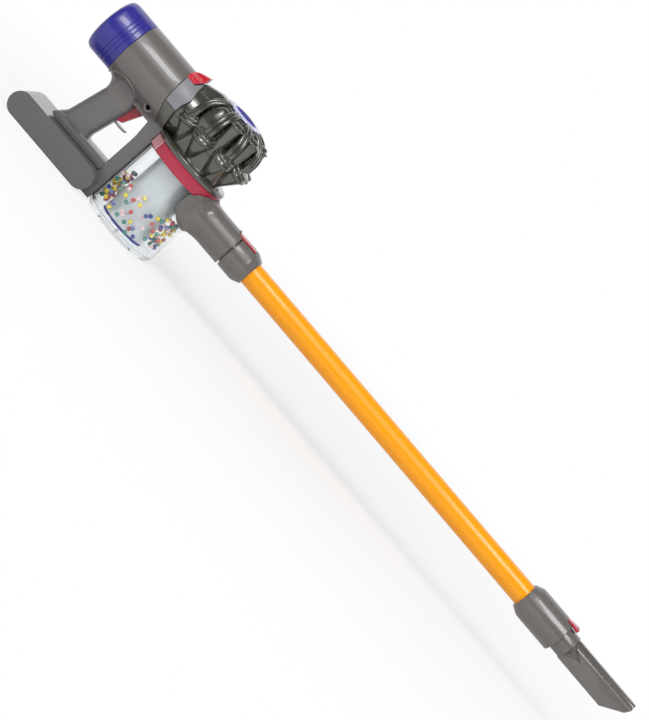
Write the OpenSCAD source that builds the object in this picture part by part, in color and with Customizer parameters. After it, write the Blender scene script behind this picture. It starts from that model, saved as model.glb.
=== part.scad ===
// Toy cordless stick vacuum with a crevice tool, in millimetres
// The foot and the dust bin stand on the table at z = 0, the wand points along +X,
// and the origin lies midway between the foot's back end and the tool's tip.

/* [Wand] */
// Outside diameter of the wand tube
wand_d = 22; // [20:0.5:23]
// Wall of the wand tube
wand_wall = 1.8; // [1.2:0.1:3]
// Length of wand seen between its two collars
wand_l = 355; // [200:5:500]
// Height of the wand's axis above the table
wand_h = 62.6; // [60:0.2:64]

/* [Wand collars] */
// Outside diameter of both collars
collar_d = 33; // [31:0.5:34]
// Length of the upper collar, taper included
top_collar_l = 24.4; // [22:0.2:34]
// Length of the lower collar, taper included
low_collar_l = 45.4; // [40:0.2:60]
// Length of the tapered end of each collar
collar_taper_l = 7.6; // [4:0.2:9]
// Depth that each end of the tube goes into its collar
wand_seat_l = 18; // [12:1:20]
// Depth that the upper collar's spigot goes into the neck
spigot_l = 18; // [12:1:24]
// Width of the dark groove between neck and upper collar
split_w = 1.7; // [0.8:0.1:2.4]
// Width of the red buttons on both collars
button_w = 15; // [10:0.5:16]
// Travel of a collar button when pressed
button_travel = 1; // [0.5:0.1:1.2]

/* [Crevice tool] */
// Length of the blade from its round neck to the tip
tool_l = 73; // [50:1:110]
// Height of the blade from its lower edge to the top rib
tool_h = 22.8; // [20:0.2:26]
// Width of the blade across its two raised sides
tool_w = 15.4; // [12:0.2:20]
// Wall of the hollow blade
tool_wall = 1.5; // [1:0.1:2]
// Diameter of the round neck that plugs into the collar
tool_neck_d = 24.4; // [23:0.2:26]
// Length of the round neck left in view
tool_neck_l = 12.6; // [8:0.2:20]
// Depth that the round neck goes into the collar
tool_seat_l = 18; // [12:1:20]

/* [Dust bin] */
// Outside diameter of the clear bin
bin_d = 74; // [70:0.5:78]
// Wall of the clear bin
bin_wall = 2.2; // [1.6:0.1:3]
// Height of the clear bin, base included
bin_h = 72.3; // [70:0.1:74]
// Distance from the wand's upper end back to the bin's axis
bin_reach = 101.5; // [98:0.5:110]
// Outside diameter of the silver cylinder inside the bin
inner_d = 44.6; // [40:0.5:48]
// Height of the crimson latch ring above the bin
ring_h = 10.8; // [8:0.2:11]
// Diameter of the loose beads
bead_d = 4; // [3:0.1:4.4]

/* [Motor housing] */
// Diameter of the motor housing
body_d = 54.6; // [52:0.2:57]
// Height of the motor housing's axis above the table
body_h = 110.5; // [109:0.1:112]
// Distance from the bin's axis to the back of the housing
body_back = 105; // [100:0.5:112]
// Wall of the motor housing
body_wall = 2.4; // [1.8:0.1:3]
// Length of the filter cap
cap_l = 31; // [26:0.5:40]

/* [Cyclone pack] */
// Diameter over the flange that carries the cyclones
flange_d = 76.4; // [74:0.2:78]
// Height of the flange
flange_h = 5.2; // [4:0.2:6]
// Lean of each cone, outward at the top, in degrees
cone_lean = 18; // [14:1:20]
// Length of each cone along its own axis
cone_l = 19.5; // [17:0.5:21]
// Radius of a cone at its top
cone_top_r = 9.8; // [9:0.1:10]
// Radius of a cone at its tip
cone_tip_r = 3.6; // [2.5:0.1:4.5]
// Height of the top disc above the table
pack_h = 146.5; // [144:0.5:149]
// Diameter of the lilac disc on top
disc_d = 37; // [32:0.5:40]

/* [Handle] */
// Width of the grip across the hand
grip_w = 24; // [22:0.5:28]
// Depth of the grip from front to back
grip_t = 28.8; // [27:0.2:31]
// Distance from the bin's axis to the front of the grip, at its top
grip_reach = 66.5; // [65:0.5:69]
// Distance that the grip leans back on its way down to the foot
grip_rake = 8.4; // [6:0.2:10]
// Width of the front post and of the block over the battery foot
post_w = 22; // [18:0.5:22]
// Thickness of the front post behind the bin
post_t = 11; // [9:0.2:12]
// Height of the block between grip and battery foot
block_h = 8.6; // [7:0.2:10]
// Width of the trigger
trigger_w = 9; // [7:0.2:10]

/* [Battery foot] */
// Length of the battery foot
foot_l = 100.5; // [98:0.5:104]
// Width of the battery foot
foot_w = 60; // [58:0.5:66]
// Height of the battery foot
foot_h = 23; // [22.4:0.2:24]
// Distance from the bin's axis to the back of the foot
foot_back = 140; // [139:0.5:142]
// Diameter of a battery cell
cell_d = 14.5; // [13:0.1:14.5]
// Length of a battery cell
cell_l = 50.5; // [44:0.5:50.5]

/* [Hidden] */
$fn = 72;

// Overrun for cuts, running fit for what slides or turns, gap between close pieces
over = 1;
fit = 0.05;
gap = 0.3;
seat_gap = 0.15;
// Thickness of the thin slices that blended shapes are drawn between
slice_t = 0.2;

// Stations along the part, measured from its middle
tool_reach = wand_l + low_collar_l + tool_neck_l + tool_l;
wand_x = (bin_reach + foot_back - tool_reach) / 2;
bin_x = wand_x - bin_reach;
low_x = wand_x + wand_l;
tool_x = low_x + low_collar_l;
wand_r = wand_d / 2;
collar_r = collar_d / 2;
bin_r = bin_d / 2;
body_r = body_d / 2;
flange_r = flange_d / 2;
inner_r = inner_d / 2;
ring_z = bin_h + seat_gap;
flange_z = ring_z + ring_h + seat_gap;
foot_r = foot_h / 2;

// Colours
grey = [0.42, 0.41, 0.41];
foot_grey = [0.38, 0.375, 0.385];
olive = [0.29, 0.29, 0.26];
duct_grey = [0.45, 0.45, 0.46];
crimson = [0.72, 0.12, 0.22];
steel = [0.7, 0.71, 0.73];

module at_bin() { translate([bin_x, 0, 0]) children(); }

// Lays a shape drawn along +Z along +X, starting at x on an axis at height z
module along_x(x, z) { translate([x, 0, z]) rotate([0, 90, 0]) children(); }

// A plate drawn in side view, x and z, as wide as w
module side_plate(w) { rotate([90, 0, 0]) linear_extrude(w, center = true) children(); }

// Round bar between two depths across the part, y0 to y1
module cross_bar(x, z, y0, y1, r) {
    translate([x, y1, z]) rotate([90, 0, 0]) cylinder(r = r, h = y1 - y0);
}

// Points on a quarter ellipse about c, from angle a0 to a1
function arc_points(c, rx, ry, a0, a1, steps) = [
    for (i = [0:steps])
        let (a = a0 + (a1 - a0) * i / steps)
        [c[0] + rx * cos(a), c[1] + ry * sin(a)]
];

// Wand, its two collars and their buttons

wand_bore_r = wand_r - wand_wall;
spigot_r = 0.81 * collar_r;
socket_floor = low_collar_l - tool_seat_l - gap;
button_r = 1.09 * collar_r;
button_seat_r = 0.86 * collar_r;
button_pocket_r = button_seat_r - button_travel - gap;
button_l = 0.66 * top_collar_l;
button_hook_l = 4.2;
button_nose_l = 6.4;
neck_r = 17.4;

module wand() {
    color([0.98, 0.6, 0.08])
    along_x(wand_x - wand_seat_l, wand_h)
    difference() {
        cylinder(r = wand_r, h = wand_l + 2 * wand_seat_l);
        translate([0, 0, -over]) cylinder(r = wand_bore_r, h = wand_l + 2 * wand_seat_l + 2 * over);
    }
}

// Crowned button shape between two radii round the wand's axis, x0 to x1
module button_block(x0, x1, r0, r1, w) {
    intersection() {
        along_x(x0, wand_h) difference() {
            cylinder(r = r1, h = x1 - x0);
            translate([0, 0, -over]) cylinder(r = r0, h = x1 - x0 + 2 * over);
        }
        translate([x0 - over, -w / 2, wand_h]) cube([x1 - x0 + 2 * over, w, 2 * collar_r]);
    }
}

// Clearance for a button and its travel
module button_pocket(x0, x1) {
    button_block(x0 - gap, x1 + gap, button_pocket_r, 2 * collar_r, button_w + 2 * gap);
}

top_button_x = wand_x - top_collar_l - split_w - button_hook_l;

module top_collar() {
    color(grey)
    difference() {
        union() {
            along_x(wand_x - top_collar_l, wand_h) cylinder(r = collar_r, h = top_collar_l - collar_taper_l);
            along_x(wand_x - collar_taper_l, wand_h)
                cylinder(r1 = collar_r, r2 = wand_r + wand_wall, h = collar_taper_l);
            along_x(wand_x - top_collar_l - split_w - spigot_l, wand_h)
                cylinder(r = spigot_r, h = spigot_l + split_w + over);
        }
        along_x(wand_x - wand_seat_l - gap, wand_h) cylinder(r = wand_r + fit, h = top_collar_l);
        along_x(wand_x - top_collar_l - split_w - spigot_l - over, wand_h)
            cylinder(r = wand_bore_r, h = spigot_l + top_collar_l);
        button_pocket(top_button_x, top_button_x + button_hook_l + split_w + button_l);
    }
}

module wand_button() {
    color(crimson)
    button_block(top_button_x, top_button_x + button_hook_l + split_w + button_l, button_seat_r, button_r,
        button_w);
}

module low_collar() {
    color(grey)
    difference() {
        union() {
            along_x(low_x, wand_h) cylinder(r1 = wand_r + wand_wall, r2 = collar_r, h = collar_taper_l);
            along_x(low_x + collar_taper_l, wand_h) cylinder(r = collar_r, h = low_collar_l - collar_taper_l);
        }
        along_x(low_x - over, wand_h) cylinder(r = wand_r + fit, h = wand_seat_l + gap + over);
        along_x(low_x, wand_h) cylinder(r = wand_bore_r, h = low_collar_l);
        along_x(low_x + socket_floor, wand_h) cylinder(r = tool_neck_d / 2 + fit, h = low_collar_l);
        button_pocket(tool_x - button_nose_l, tool_x + button_nose_l);
    }
}

module tool_button() {
    color(crimson)
    button_block(tool_x - button_nose_l, tool_x + button_nose_l, button_seat_r, button_r, button_w);
}

// Crevice tool: round neck, flat hollow blade with raised sides and a top rib

blade_top = 0.48 * tool_h;
blade_low = blade_top - tool_h;
rib_h = 0.19 * tool_h;
side_t = 1.7;
core_w = tool_w - 2 * side_t;
mouth_run = 0.29 * tool_l;
side_back = 0.2 * tool_l;

// Side view of the blade's core, with its slanted mouth
module blade_outline(top, low, back) {
    polygon([
        [back, low], [tool_l - mouth_run, low], [tool_l - 0.14 * mouth_run, 0.02 * tool_h],
        [tool_l, 0.28 * tool_h], [tool_l, top], [back, top]
    ]);
}

module crevice_tool() {
    color(grey)
    translate([tool_x + tool_neck_l, 0, wand_h])
    difference() {
        union() {
            rotate([0, -90, 0]) cylinder(d = tool_neck_d, h = tool_neck_l + tool_seat_l);
            side_plate(core_w) blade_outline(blade_top, blade_low, -tool_wall);
            // raised sides, cut back on a slant next to the round neck
            side_plate(tool_w) polygon([
                [-tool_wall, blade_low], [tool_l - mouth_run, blade_low],
                [tool_l - 0.14 * mouth_run, 0.02 * tool_h], [tool_l, 0.28 * tool_h],
                [tool_l, blade_top - rib_h], [0.1 * side_back, blade_top - rib_h],
                [side_back, 0], [0.6 * side_back, -0.1 * tool_h], [-tool_wall, -0.12 * tool_h]
            ]);
        }
        // chamfer along both upper edges of the raised sides
        for (side = [-1, 1])
            translate([-over - tool_wall, side * tool_w / 2, blade_top - rib_h])
            rotate([45, 0, 0])
            translate([0, -side_t / 2, -side_t / 2])
            cube([tool_l + 2 * over + tool_wall, side_t, side_t]);
        // air way
        side_plate(core_w - 2 * tool_wall + side_t) polygon([
            [-over, blade_low + tool_wall], [tool_l + over, blade_low + tool_wall],
            [tool_l + over, blade_top - rib_h - tool_wall], [-over, blade_top - rib_h - tool_wall]
        ]);
        rotate([0, -90, 0]) cylinder(d = tool_neck_d - 2 * tool_wall - side_t,
            h = tool_neck_l + tool_seat_l + over);
    }
}

// Neck that carries the wand on the bin

neck_back = 0.52 * bin_r;
neck_blend = 1.25 * bin_r;
neck_end = bin_reach - top_collar_l - split_w;
saddle_w = 0.88 * bin_d;
saddle_h = 2.1 * neck_r;
saddle_drop = 1.6;
inlet_r = wand_bore_r;
nub_r = 0.8;

module neck() {
    color(grey)
    difference() {
        union() {
            hull() {
                translate([bin_x + neck_back, 0, wand_h - saddle_drop]) rotate([0, 90, 0])
                    scale([saddle_h / 2, saddle_w / 2, 1]) cylinder(r = 1, h = slice_t, $fn = 48);
                along_x(bin_x + neck_blend - slice_t, wand_h) cylinder(r = neck_r, h = slice_t, $fn = 48);
            }
            along_x(bin_x + neck_blend - slice_t, wand_h) cylinder(r = neck_r,
                h = neck_end - neck_blend + slice_t);
            cross_bar(bin_x + neck_end - button_hook_l - 2 * nub_r, wand_h + neck_r, -button_w / 4,
                button_w / 4, nub_r);
        }
        at_bin() translate([0, 0, -over]) cylinder(r = bin_r + gap, h = ring_z + over);
        at_bin() translate([0, 0, ring_z - over]) cylinder(r = flange_r + gap,
            h = flange_h + ring_h + 2 * over);
        along_x(bin_x, wand_h) cylinder(r = inlet_r, h = bin_reach);
        along_x(bin_x + neck_end - spigot_l - gap, wand_h) cylinder(r = spigot_r + fit,
            h = spigot_l + gap + over);
        button_pocket(top_button_x, bin_x + neck_end + over);
    }
}

// Dust bin: clear wall, clear base, silver cylinder, stirrer and loose beads

base_h = 5;
base_foot_r = 0.92 * bin_r;
plug_h = 2.6;
inner_z = base_h + 2.6;
inner_wall = 1.4;
disc_t = 1.6;
stir_r = 1.5;
stir_motor_r = 0.45 * inner_r;
stir_motor_h = 24;

module clear_bin() {
    color([0.9, 0.94, 0.97, 0.35])
    at_bin() difference() {
        translate([0, 0, base_h + seat_gap]) cylinder(r = bin_r, h = bin_h - base_h - seat_gap);
        cylinder(r = bin_r - bin_wall, h = bin_h + over);
        along_x(0, wand_h) cylinder(r = inlet_r - bin_wall, h = 2 * bin_r);
    }
}

module bin_base() {
    color([0.88, 0.93, 0.97, 0.35])
    at_bin() difference() {
        rotate_extrude() polygon([
            [0, 0], [base_foot_r, 0], [bin_r - 0.1 * bin_wall, 0.62 * base_h],
            [bin_r - 0.1 * bin_wall, base_h], [bin_r - bin_wall - seat_gap, base_h],
            [bin_r - bin_wall - seat_gap, base_h + plug_h], [bin_r - 2 * bin_wall, base_h + plug_h],
            [bin_r - 2 * bin_wall, 0.5 * base_h], [0, 0.5 * base_h]
        ]);
        translate([0, 0, 0.25 * base_h]) cylinder(r = stir_r + fit, h = base_h);
    }
}

module inner_cylinder() {
    color([0.72, 0.75, 0.78])
    at_bin() difference() {
        translate([0, 0, inner_z]) cylinder(r = inner_r, h = flange_z - inner_z);
        translate([0, 0, inner_z + disc_t]) cylinder(r = inner_r - inner_wall, h = flange_z);
        cylinder(r = stir_r + gap, h = flange_z);
    }
}

module stirrer_motor() {
    color(steel)
    at_bin() translate([0, 0, inner_z + disc_t]) difference() {
        cylinder(r = stir_motor_r, h = stir_motor_h);
        translate([0, 0, -over]) cylinder(r = stir_r + fit, h = stir_motor_h / 2);
    }
}

module stirrer_shaft() {
    color(steel)
    at_bin() translate([0, 0, 0.25 * base_h + gap])
        cylinder(r = stir_r, h = inner_z + disc_t + stir_motor_h / 3 - 0.25 * base_h);
}

stir_teeth = 6;

module stirrer_disc() {
    color([0.1, 0.11, 0.33])
    at_bin() difference() {
        translate([0, 0, inner_z - gap - disc_t]) cylinder(r = 1.02 * inner_r, h = disc_t);
        for (i = [0:stir_teeth - 1]) rotate([0, 0, i * 360 / stir_teeth])
            translate([1.12 * inner_r, 0, 0]) cylinder(r = 0.16 * inner_r, h = inner_z);
        cylinder(r = stir_r + 0.5 * fit, h = inner_z);
    }
}

// Beads sit on a staggered grid of slots in the ring-shaped space, touching neither wall
bead_slots = 24;
bead_rows = 8;
bead_step = 53;
bead_z = inner_z + 0.9 * bead_d;
bead_row_h = 1.16 * bead_d;
bead_kinds = 5;
bead_count = 72;

module beads(kind) {
    out_r = bin_r - bin_wall - bead_d / 2 - gap;
    in_r = inner_r + bead_d / 2 + gap;
    for (k = [kind:bead_kinds:bead_count - 1]) {
        slot = (k * bead_step) % (bead_slots * bead_rows);
        row = floor(slot / bead_slots);
        turn = (slot % bead_slots + 0.5 * (row % 2) + 0.22 * sin(97 * k)) * 360 / bead_slots;
        rise = bead_z + row * bead_row_h + 0.05 * bead_d * sin(61 * k);
        reach = k % 3 == 0 ? in_r : out_r;
        at_bin() rotate([0, 0, turn]) translate([reach, 0, rise]) sphere(d = bead_d);
    }
}

module beads_red() { color([0.85, 0.15, 0.13]) beads(0); }
module beads_yellow() { color([0.93, 0.85, 0.15]) beads(1); }
module beads_blue() { color([0.12, 0.22, 0.5]) beads(2); }
module beads_green() { color([0.05, 0.5, 0.42]) beads(3); }
module beads_white() { color([0.95, 0.93, 0.93]) beads(4); }

// Crimson latch ring with its ribbed grips either side of the post

ring_r = bin_r + 0.6;
ring_wall = 3;
grip_pad_t = 1.2;
grip_rib_t = 0.9;
grip_from = 134;
grip_sweep = 28;
grip_ribs = 6;

// Sector of a ring between two radii, starting at angle a0
module ring_sector(r0, r1, h, a0, sweep) {
    rotate([0, 0, a0]) rotate_extrude(angle = sweep) translate([r0, 0]) square([r1 - r0, h]);
}

module latch_ring() {
    color(crimson)
    at_bin() difference() {
        translate([0, 0, ring_z]) cylinder(r = ring_r, h = ring_h);
        translate([0, 0, ring_z - over]) cylinder(r = ring_r - ring_wall, h = ring_h + 2 * over);
        for (side = [0, 1]) mirror([0, side, 0])
            translate([0, 0, ring_z - over])
            ring_sector(ring_r - grip_pad_t - seat_gap, ring_r + over, ring_h + 2 * over, grip_from - 0.5,
                grip_sweep + 1);
    }
}

module latch_grips() {
    color([0.8, 0.55, 0.58])
    at_bin() for (side = [0, 1]) mirror([0, side, 0]) translate([0, 0, ring_z]) {
        ring_sector(ring_r - grip_pad_t, ring_r - 0.3 * grip_pad_t, ring_h, grip_from, grip_sweep);
        for (i = [0:grip_ribs - 1])
            translate([0, 0, 0.04 * ring_h])
            ring_sector(ring_r - 0.6 * grip_pad_t, ring_r + 0.3 * grip_rib_t, 0.92 * ring_h,
                grip_from + (i + 0.25) * grip_sweep / grip_ribs, 0.5 * grip_sweep / grip_ribs);
    }
}

// Cyclone pack: lower moulding with the cones, upper moulding with the domed ducts

cone_steps = [20, 60, 100, 140, -20, -60, -100, -140];
cone_foot_rho = 0.36 * bin_d;
cone_foot_z = flange_z + 1.25 * flange_h;
core_r = 0.42 * bin_d;
core_z = flange_z + flange_h + 0.8 * cone_l;
lip_r = 0.98 * cone_top_r;
lip_roll = 1.7;
lip_h = 6.2;
cap_h = 9;
rib_r = 2.1;
rib_spread = 3.4;
rib_bend = 17;
rib_rho = 36.4;
bend_rho = rib_rho - rib_bend;
bend_z = pack_h - rib_bend - rib_r - 1.6;
pod_rho = 27.4;
pod_r = 6.2;
pod_lip_r = 6.4;
pod_roll = 1.2;
pod_z = bend_z + 9.4;
cone_top_z = cone_foot_z + cone_l * cos(cone_lean);
dome_foot_r = core_r - gap;
dome_r = 1.07 * core_r;
dome_foot_z = cone_top_z + 0.5 * cap_h;
dome_top = pack_h - 3.4;
dome_bend = 0.6 * dome_r;
dome_bend_z = dome_top - 0.5 * dome_r;

// Stands a shape on the leaning axis of the cone at angle a
module on_cone_axis() {
    translate([cone_foot_rho, 0, cone_foot_z]) rotate([0, cone_lean, 0]) children();
}

module on_cone(a) {
    rotate([0, 0, a]) on_cone_axis() children();
}

module cyclone_cones() {
    color(olive)
    at_bin() difference() {
        union() {
            translate([0, 0, flange_z]) cylinder(r = flange_r, h = 0.7 * flange_h);
            translate([0, 0, flange_z + 0.7 * flange_h])
                cylinder(r1 = flange_r, r2 = flange_r - 0.3 * flange_h, h = 0.3 * flange_h);
            translate([0, 0, flange_z + flange_h])
                cylinder(r1 = core_r - 0.5 * cone_tip_r, r2 = core_r, h = core_z - flange_z - flange_h);
            inlet_stub(flange_z + 0.5 * flange_h, core_z);
            for (a = cone_steps) on_cone(a) {
                sphere(r = cone_tip_r);
                cylinder(r1 = cone_tip_r, r2 = cone_top_r, h = cone_l);
            }
        }
        // room for the foot of the upper moulding and its half of the inlet
        translate([0, 0, core_z]) cylinder(r = core_r, h = pack_h);
        intersection() {
            along_x(-2 * core_r, body_h) cylinder(r = duct_bore_r - seat_gap + gap, h = 2 * core_r);
            translate([-2 * core_r, -core_r, core_z]) cube([2 * core_r, 2 * core_r, pack_h]);
        }
        // flat underside over the bin
        translate([0, 0, flange_z - over]) cylinder(r = flange_r + over, h = over);
        // hollow core and the air way from the duct
        translate([0, 0, flange_z - over]) cylinder(r = inner_r - inner_wall, h = pack_h);
        along_x(-inlet_reach, body_h) cylinder(r = air_r, h = inlet_reach);
    }
}

// Half of the round inlet that plugs into the duct, between two heights
module inlet_stub(z0, z1) {
    intersection() {
        difference() {
            along_x(-inlet_reach, body_h) cylinder(r = duct_bore_r - seat_gap,
                h = inlet_reach - 0.8 * core_r);
            along_x(-inlet_reach - over, body_h) cylinder(r = duct_bore_r - seat_gap - inlet_wall,
                h = inlet_reach);
        }
        translate([-2 * core_r, -core_r, z0]) cube([2 * core_r, 2 * core_r, z1 - z0]);
    }
}

module cone_cap(a) {
    on_cone(a) translate([0, 0, cone_l]) {
        translate([0, 0, 0.4 * lip_roll]) cylinder(r = lip_r, h = lip_h - 0.8 * lip_roll);
        translate([0, 0, lip_roll]) rotate_extrude() translate([lip_r, 0]) circle(r = lip_roll, $fn = 24);
        translate([0, 0, lip_h - 0.9 * lip_roll]) rotate_extrude()
            translate([lip_r - 0.4 * lip_roll, 0]) circle(r = 0.7 * lip_roll, $fn = 24);
        translate([0, 0, 0.5 * lip_h]) cylinder(r1 = 1.02 * lip_r, r2 = 0.56 * lip_r, h = cap_h);
    }
}

// Twin duct that climbs from a cone's cap and bends in over the dome
module dome_rib(a) {
    rotate([0, 0, a]) for (side = [-1, 1]) translate([0, side * rib_spread / 2, 0]) {
        translate([rib_rho, 0, cone_top_z + lip_h]) cylinder(r = rib_r, h = bend_z - cone_top_z - lip_h);
        translate([bend_rho, 0, bend_z]) rotate([90, 0, 0])
            rotate_extrude(angle = 90) translate([rib_bend, 0]) circle(r = rib_r, $fn = 24);
        translate([0.5 * bend_rho, 0, bend_z + rib_bend]) rotate([0, 90, 0])
            cylinder(r = rib_r, h = 0.5 * bend_rho);
    }
}

// Small upright cyclone that stands between two ducts
module pod(a) {
    rotate([0, 0, a]) translate([pod_rho, 0, 0]) {
        translate([0, 0, dome_foot_z]) cylinder(r1 = 0.72 * pod_r, r2 = pod_r, h = pod_z - dome_foot_z);
        translate([0, 0, pod_z + 0.3 * pod_roll]) cylinder(r = pod_lip_r, h = 1.3 * pod_roll);
        translate([0, 0, pod_z + pod_roll]) rotate_extrude()
            translate([pod_lip_r, 0]) circle(r = pod_roll, $fn = 24);
        translate([0, 0, pod_z + pod_roll]) cylinder(r1 = 0.9 * pod_lip_r, r2 = 0.3 * pod_lip_r,
            h = 2.6 * pod_roll);
    }
}

inlet_reach = 1.36 * core_r;
inlet_wall = 2;
air_r = 0.4 * body_r;
core_wall = 4;
pod_steps = [0, 40, 80, 120, -40, -80, -120];
rear_rib_w = 17;

module cyclone_dome() {
    color(olive)
    at_bin() difference() {
        union() {
            rotate_extrude() polygon(concat(
                [[0, core_z + gap], [dome_foot_r, core_z + gap], [dome_foot_r, dome_foot_z - 0.12 * cap_h],
                 [dome_r, dome_foot_z]],
                arc_points([dome_r - dome_bend, dome_bend_z], dome_bend, dome_top - dome_bend_z, 0, 90, 8),
                [[0, dome_top]]
            ));
            for (a = cone_steps) {
                cone_cap(a);
                dome_rib(a);
            }
            for (a = pod_steps) pod(a);
            inlet_stub(core_z + gap, pack_h);
            // broad duct that comes up from the motor housing
            side_plate(rear_rib_w) polygon([
                [-rib_rho - 2.6 * rib_r, body_h + 0.72 * body_r], [-rib_rho - 2.6 * rib_r,
                    body_h + 1.03 * body_r],
                [-0.66 * disc_d, pack_h - 1.2 * rib_r], [0, dome_top - rib_r], [0, body_h + 0.72 * body_r]
            ]);
        }
        // hollow core and the air way from the duct
        rotate_extrude() polygon([
            [0, core_z - over], [dome_foot_r - core_wall, core_z - over], [dome_foot_r - core_wall,
                dome_bend_z],
            [dome_r - dome_bend, dome_top - core_wall], [0, dome_top - core_wall]
        ]);
        along_x(-inlet_reach, body_h) cylinder(r = air_r, h = inlet_reach);
        // seat of the disc on top
        translate([0, 0, dome_top]) cylinder(r = disc_d / 2 + seat_gap, h = pack_h);
    }
}

disc_centre_r = 0.32 * disc_d;
disc_sink = 0.8;

module disc_rim() {
    color([0.82, 0.82, 0.95])
    at_bin() difference() {
        union() {
            translate([0, 0, dome_top]) cylinder(r = disc_d / 2, h = 0.5 * (pack_h - dome_top));
            translate([0, 0, dome_top + 0.5 * (pack_h - dome_top)])
                cylinder(r1 = disc_d / 2, r2 = 0.86 * disc_d / 2, h = 0.5 * (pack_h - dome_top));
        }
        translate([0, 0, pack_h - 2 * disc_sink]) cylinder(r = disc_centre_r + seat_gap, h = pack_h);
    }
}

module disc_centre() {
    color([0.2, 0.2, 0.62])
    at_bin() translate([0, 0, pack_h - 2 * disc_sink]) cylinder(r = disc_centre_r, h = 1.4 * disc_sink);
}

// Seam between the motor housing and the duct, as shares of the housing's diameter
// forward of the seam's top and of its radius above the axis
seam_shares = [[0, 1.3], [0, 1.05], [0.038, 0.27], [0.07, -0.2], [0.115, -0.45], [0.192, -0.92], [0.235,
    -1.3]];
seam_x = -1.026 * body_d;
seam_line = [for (s = seam_shares) [seam_x + s[0] * body_d, body_h + s[1] * body_r]];

module behind_seam() {
    side_plate(2 * body_d) polygon(concat(seam_line, [
        [-body_back - 2 * cap_l, body_h - 1.3 * body_r], [-body_back - 2 * cap_l, body_h + 1.3 * body_r]
    ]));
}

module before_seam() {
    side_plate(2 * body_d) polygon(concat(seam_line, [
        [bin_r, body_h - 1.3 * body_r], [bin_r, body_h + 1.3 * body_r]
    ]));
}

duct_r = 0.975 * body_r;
duct_wall = 3;
duct_bore_r = duct_r - duct_wall;
duct_split_z = body_h - 0.14 * body_r;
// Front edge of the duct, as shares of the core's radius and of the housing's radius above the axis
duct_edge = [[-1.36, 1.3], [-1.36, 1.05], [-1.3, 0.7], [-1.2, 0.42], [-1.28, 0.1], [-1.28, -0.3], [-1.22,
    -0.7], [-1.22, -1.3]];

module duct_body() {
    at_bin() difference() {
        intersection() {
            along_x(-body_back, body_h) cylinder(r = duct_r, h = body_back);
            before_seam();
            side_plate(2 * body_d) polygon(concat(
                [for (s = duct_edge) [s[0] * core_r, body_h + s[1] * body_r]],
                [[-body_back, body_h - 1.3 * body_r], [-body_back, body_h + 1.3 * body_r]]
            ));
        }
        along_x(-body_back - over, body_h) cylinder(r = duct_bore_r, h = body_back + over);
        translate([0, 0, flange_z - gap]) cylinder(r = flange_r + gap, h = flange_h + 2 * gap);
        // room for the broad rear duct of the dome
        translate([-rib_rho - 2.6 * rib_r - gap, -rear_rib_w / 2 - gap, body_h + 0.72 * body_r - gap])
            cube([rib_rho + 2.6 * rib_r, rear_rib_w + 2 * gap, pack_h]);
        lever_room();
    }
}

module duct_upper() {
    color(duct_grey)
    intersection() {
        duct_body();
        translate([bin_x - body_back, -body_d, duct_split_z]) cube([2 * body_back, 2 * body_d, 2 * body_d]);
    }
}

module duct_lower() {
    color(duct_grey)
    intersection() {
        duct_body();
        translate([bin_x - body_back, -body_d, duct_split_z - 2 * body_d]) cube([2 * body_back, 2 * body_d,
            2 * body_d]);
    }
}

// Red lever that straddles the top of the housing next to the cyclone pack

lever_w = 32;
lever_t = 1.2;
lever_travel = 1.2;
lever_back = -1.026 * body_d;
lever_front = lever_back + 13.6;
lever_low = body_h + 0.74 * body_r;
lever_shares = [[0, 0.02], [0, 0.42], [0.33, 0.6], [1, 0.8], [1, 0.5], [0.64, 0], [0.35, -0.02]];
lever_h = 16.6;

module lever_outline() {
    polygon([for (s = lever_shares) [lever_back + s[0] * (lever_front - lever_back),
        lever_low + s[1] * lever_h]]);
}

module release_lever() {
    color(crimson)
    at_bin() difference() {
        side_plate(lever_w) lever_outline();
        along_x(-body_back, body_h) cylinder(r = body_r - lever_t, h = body_back);
        // rounded shoulders
        intersection() {
            along_x(-body_back, body_h) difference() {
                cylinder(r = 2 * body_r, h = body_back);
                translate([0, 0, -over]) cylinder(r = 1.045 * body_r, h = body_back + 2 * over);
            }
            for (side = [-1, 1]) translate([-body_back, side * (lever_w / 2 + 0.2 * lever_w) - lever_w / 2,
                lever_low - over])
                cube([body_back, lever_w, 2 * lever_h]);
        }
    }
}

// Pocket that the lever drops into when pressed
module lever_room() {
    difference() {
        for (dx = [-gap, gap]) for (dz = [gap, -lever_travel - gap])
            translate([dx, 0, dz]) side_plate(lever_w + 2 * gap) lever_outline();
        along_x(-body_back, body_h) cylinder(r = body_r - lever_t - lever_travel - gap, h = body_back);
    }
    translate([(lever_back + lever_front) / 2, 0, lever_spring_z]) cylinder(r = spring_r + gap, h = body_r);
}

spring_r = 2;
spring_bore_r = 1.2;
lever_spring_z = body_h + duct_bore_r + 0.4 * duct_wall;

module lever_spring() {
    color(steel)
    at_bin() translate([(lever_back + lever_front) / 2, 0, lever_spring_z]) difference() {
        cylinder(r = spring_r, h = body_h + sqrt(pow(body_r - lever_t, 2) - pow(1.2 * spring_r, 2))
            - lever_spring_z);
        translate([0, 0, -over]) cylinder(r = spring_bore_r, h = body_r);
    }
}

// Filter cap and the pad inside it

cap_wall = 2;
cap_round = 6;
cap_shoulder = 13.5;
cap_in_r = body_r - cap_wall;
tail_l = 7;
groove_w = 1;
groove_pitch = 3.7;
groove_deep = 0.5;

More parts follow.
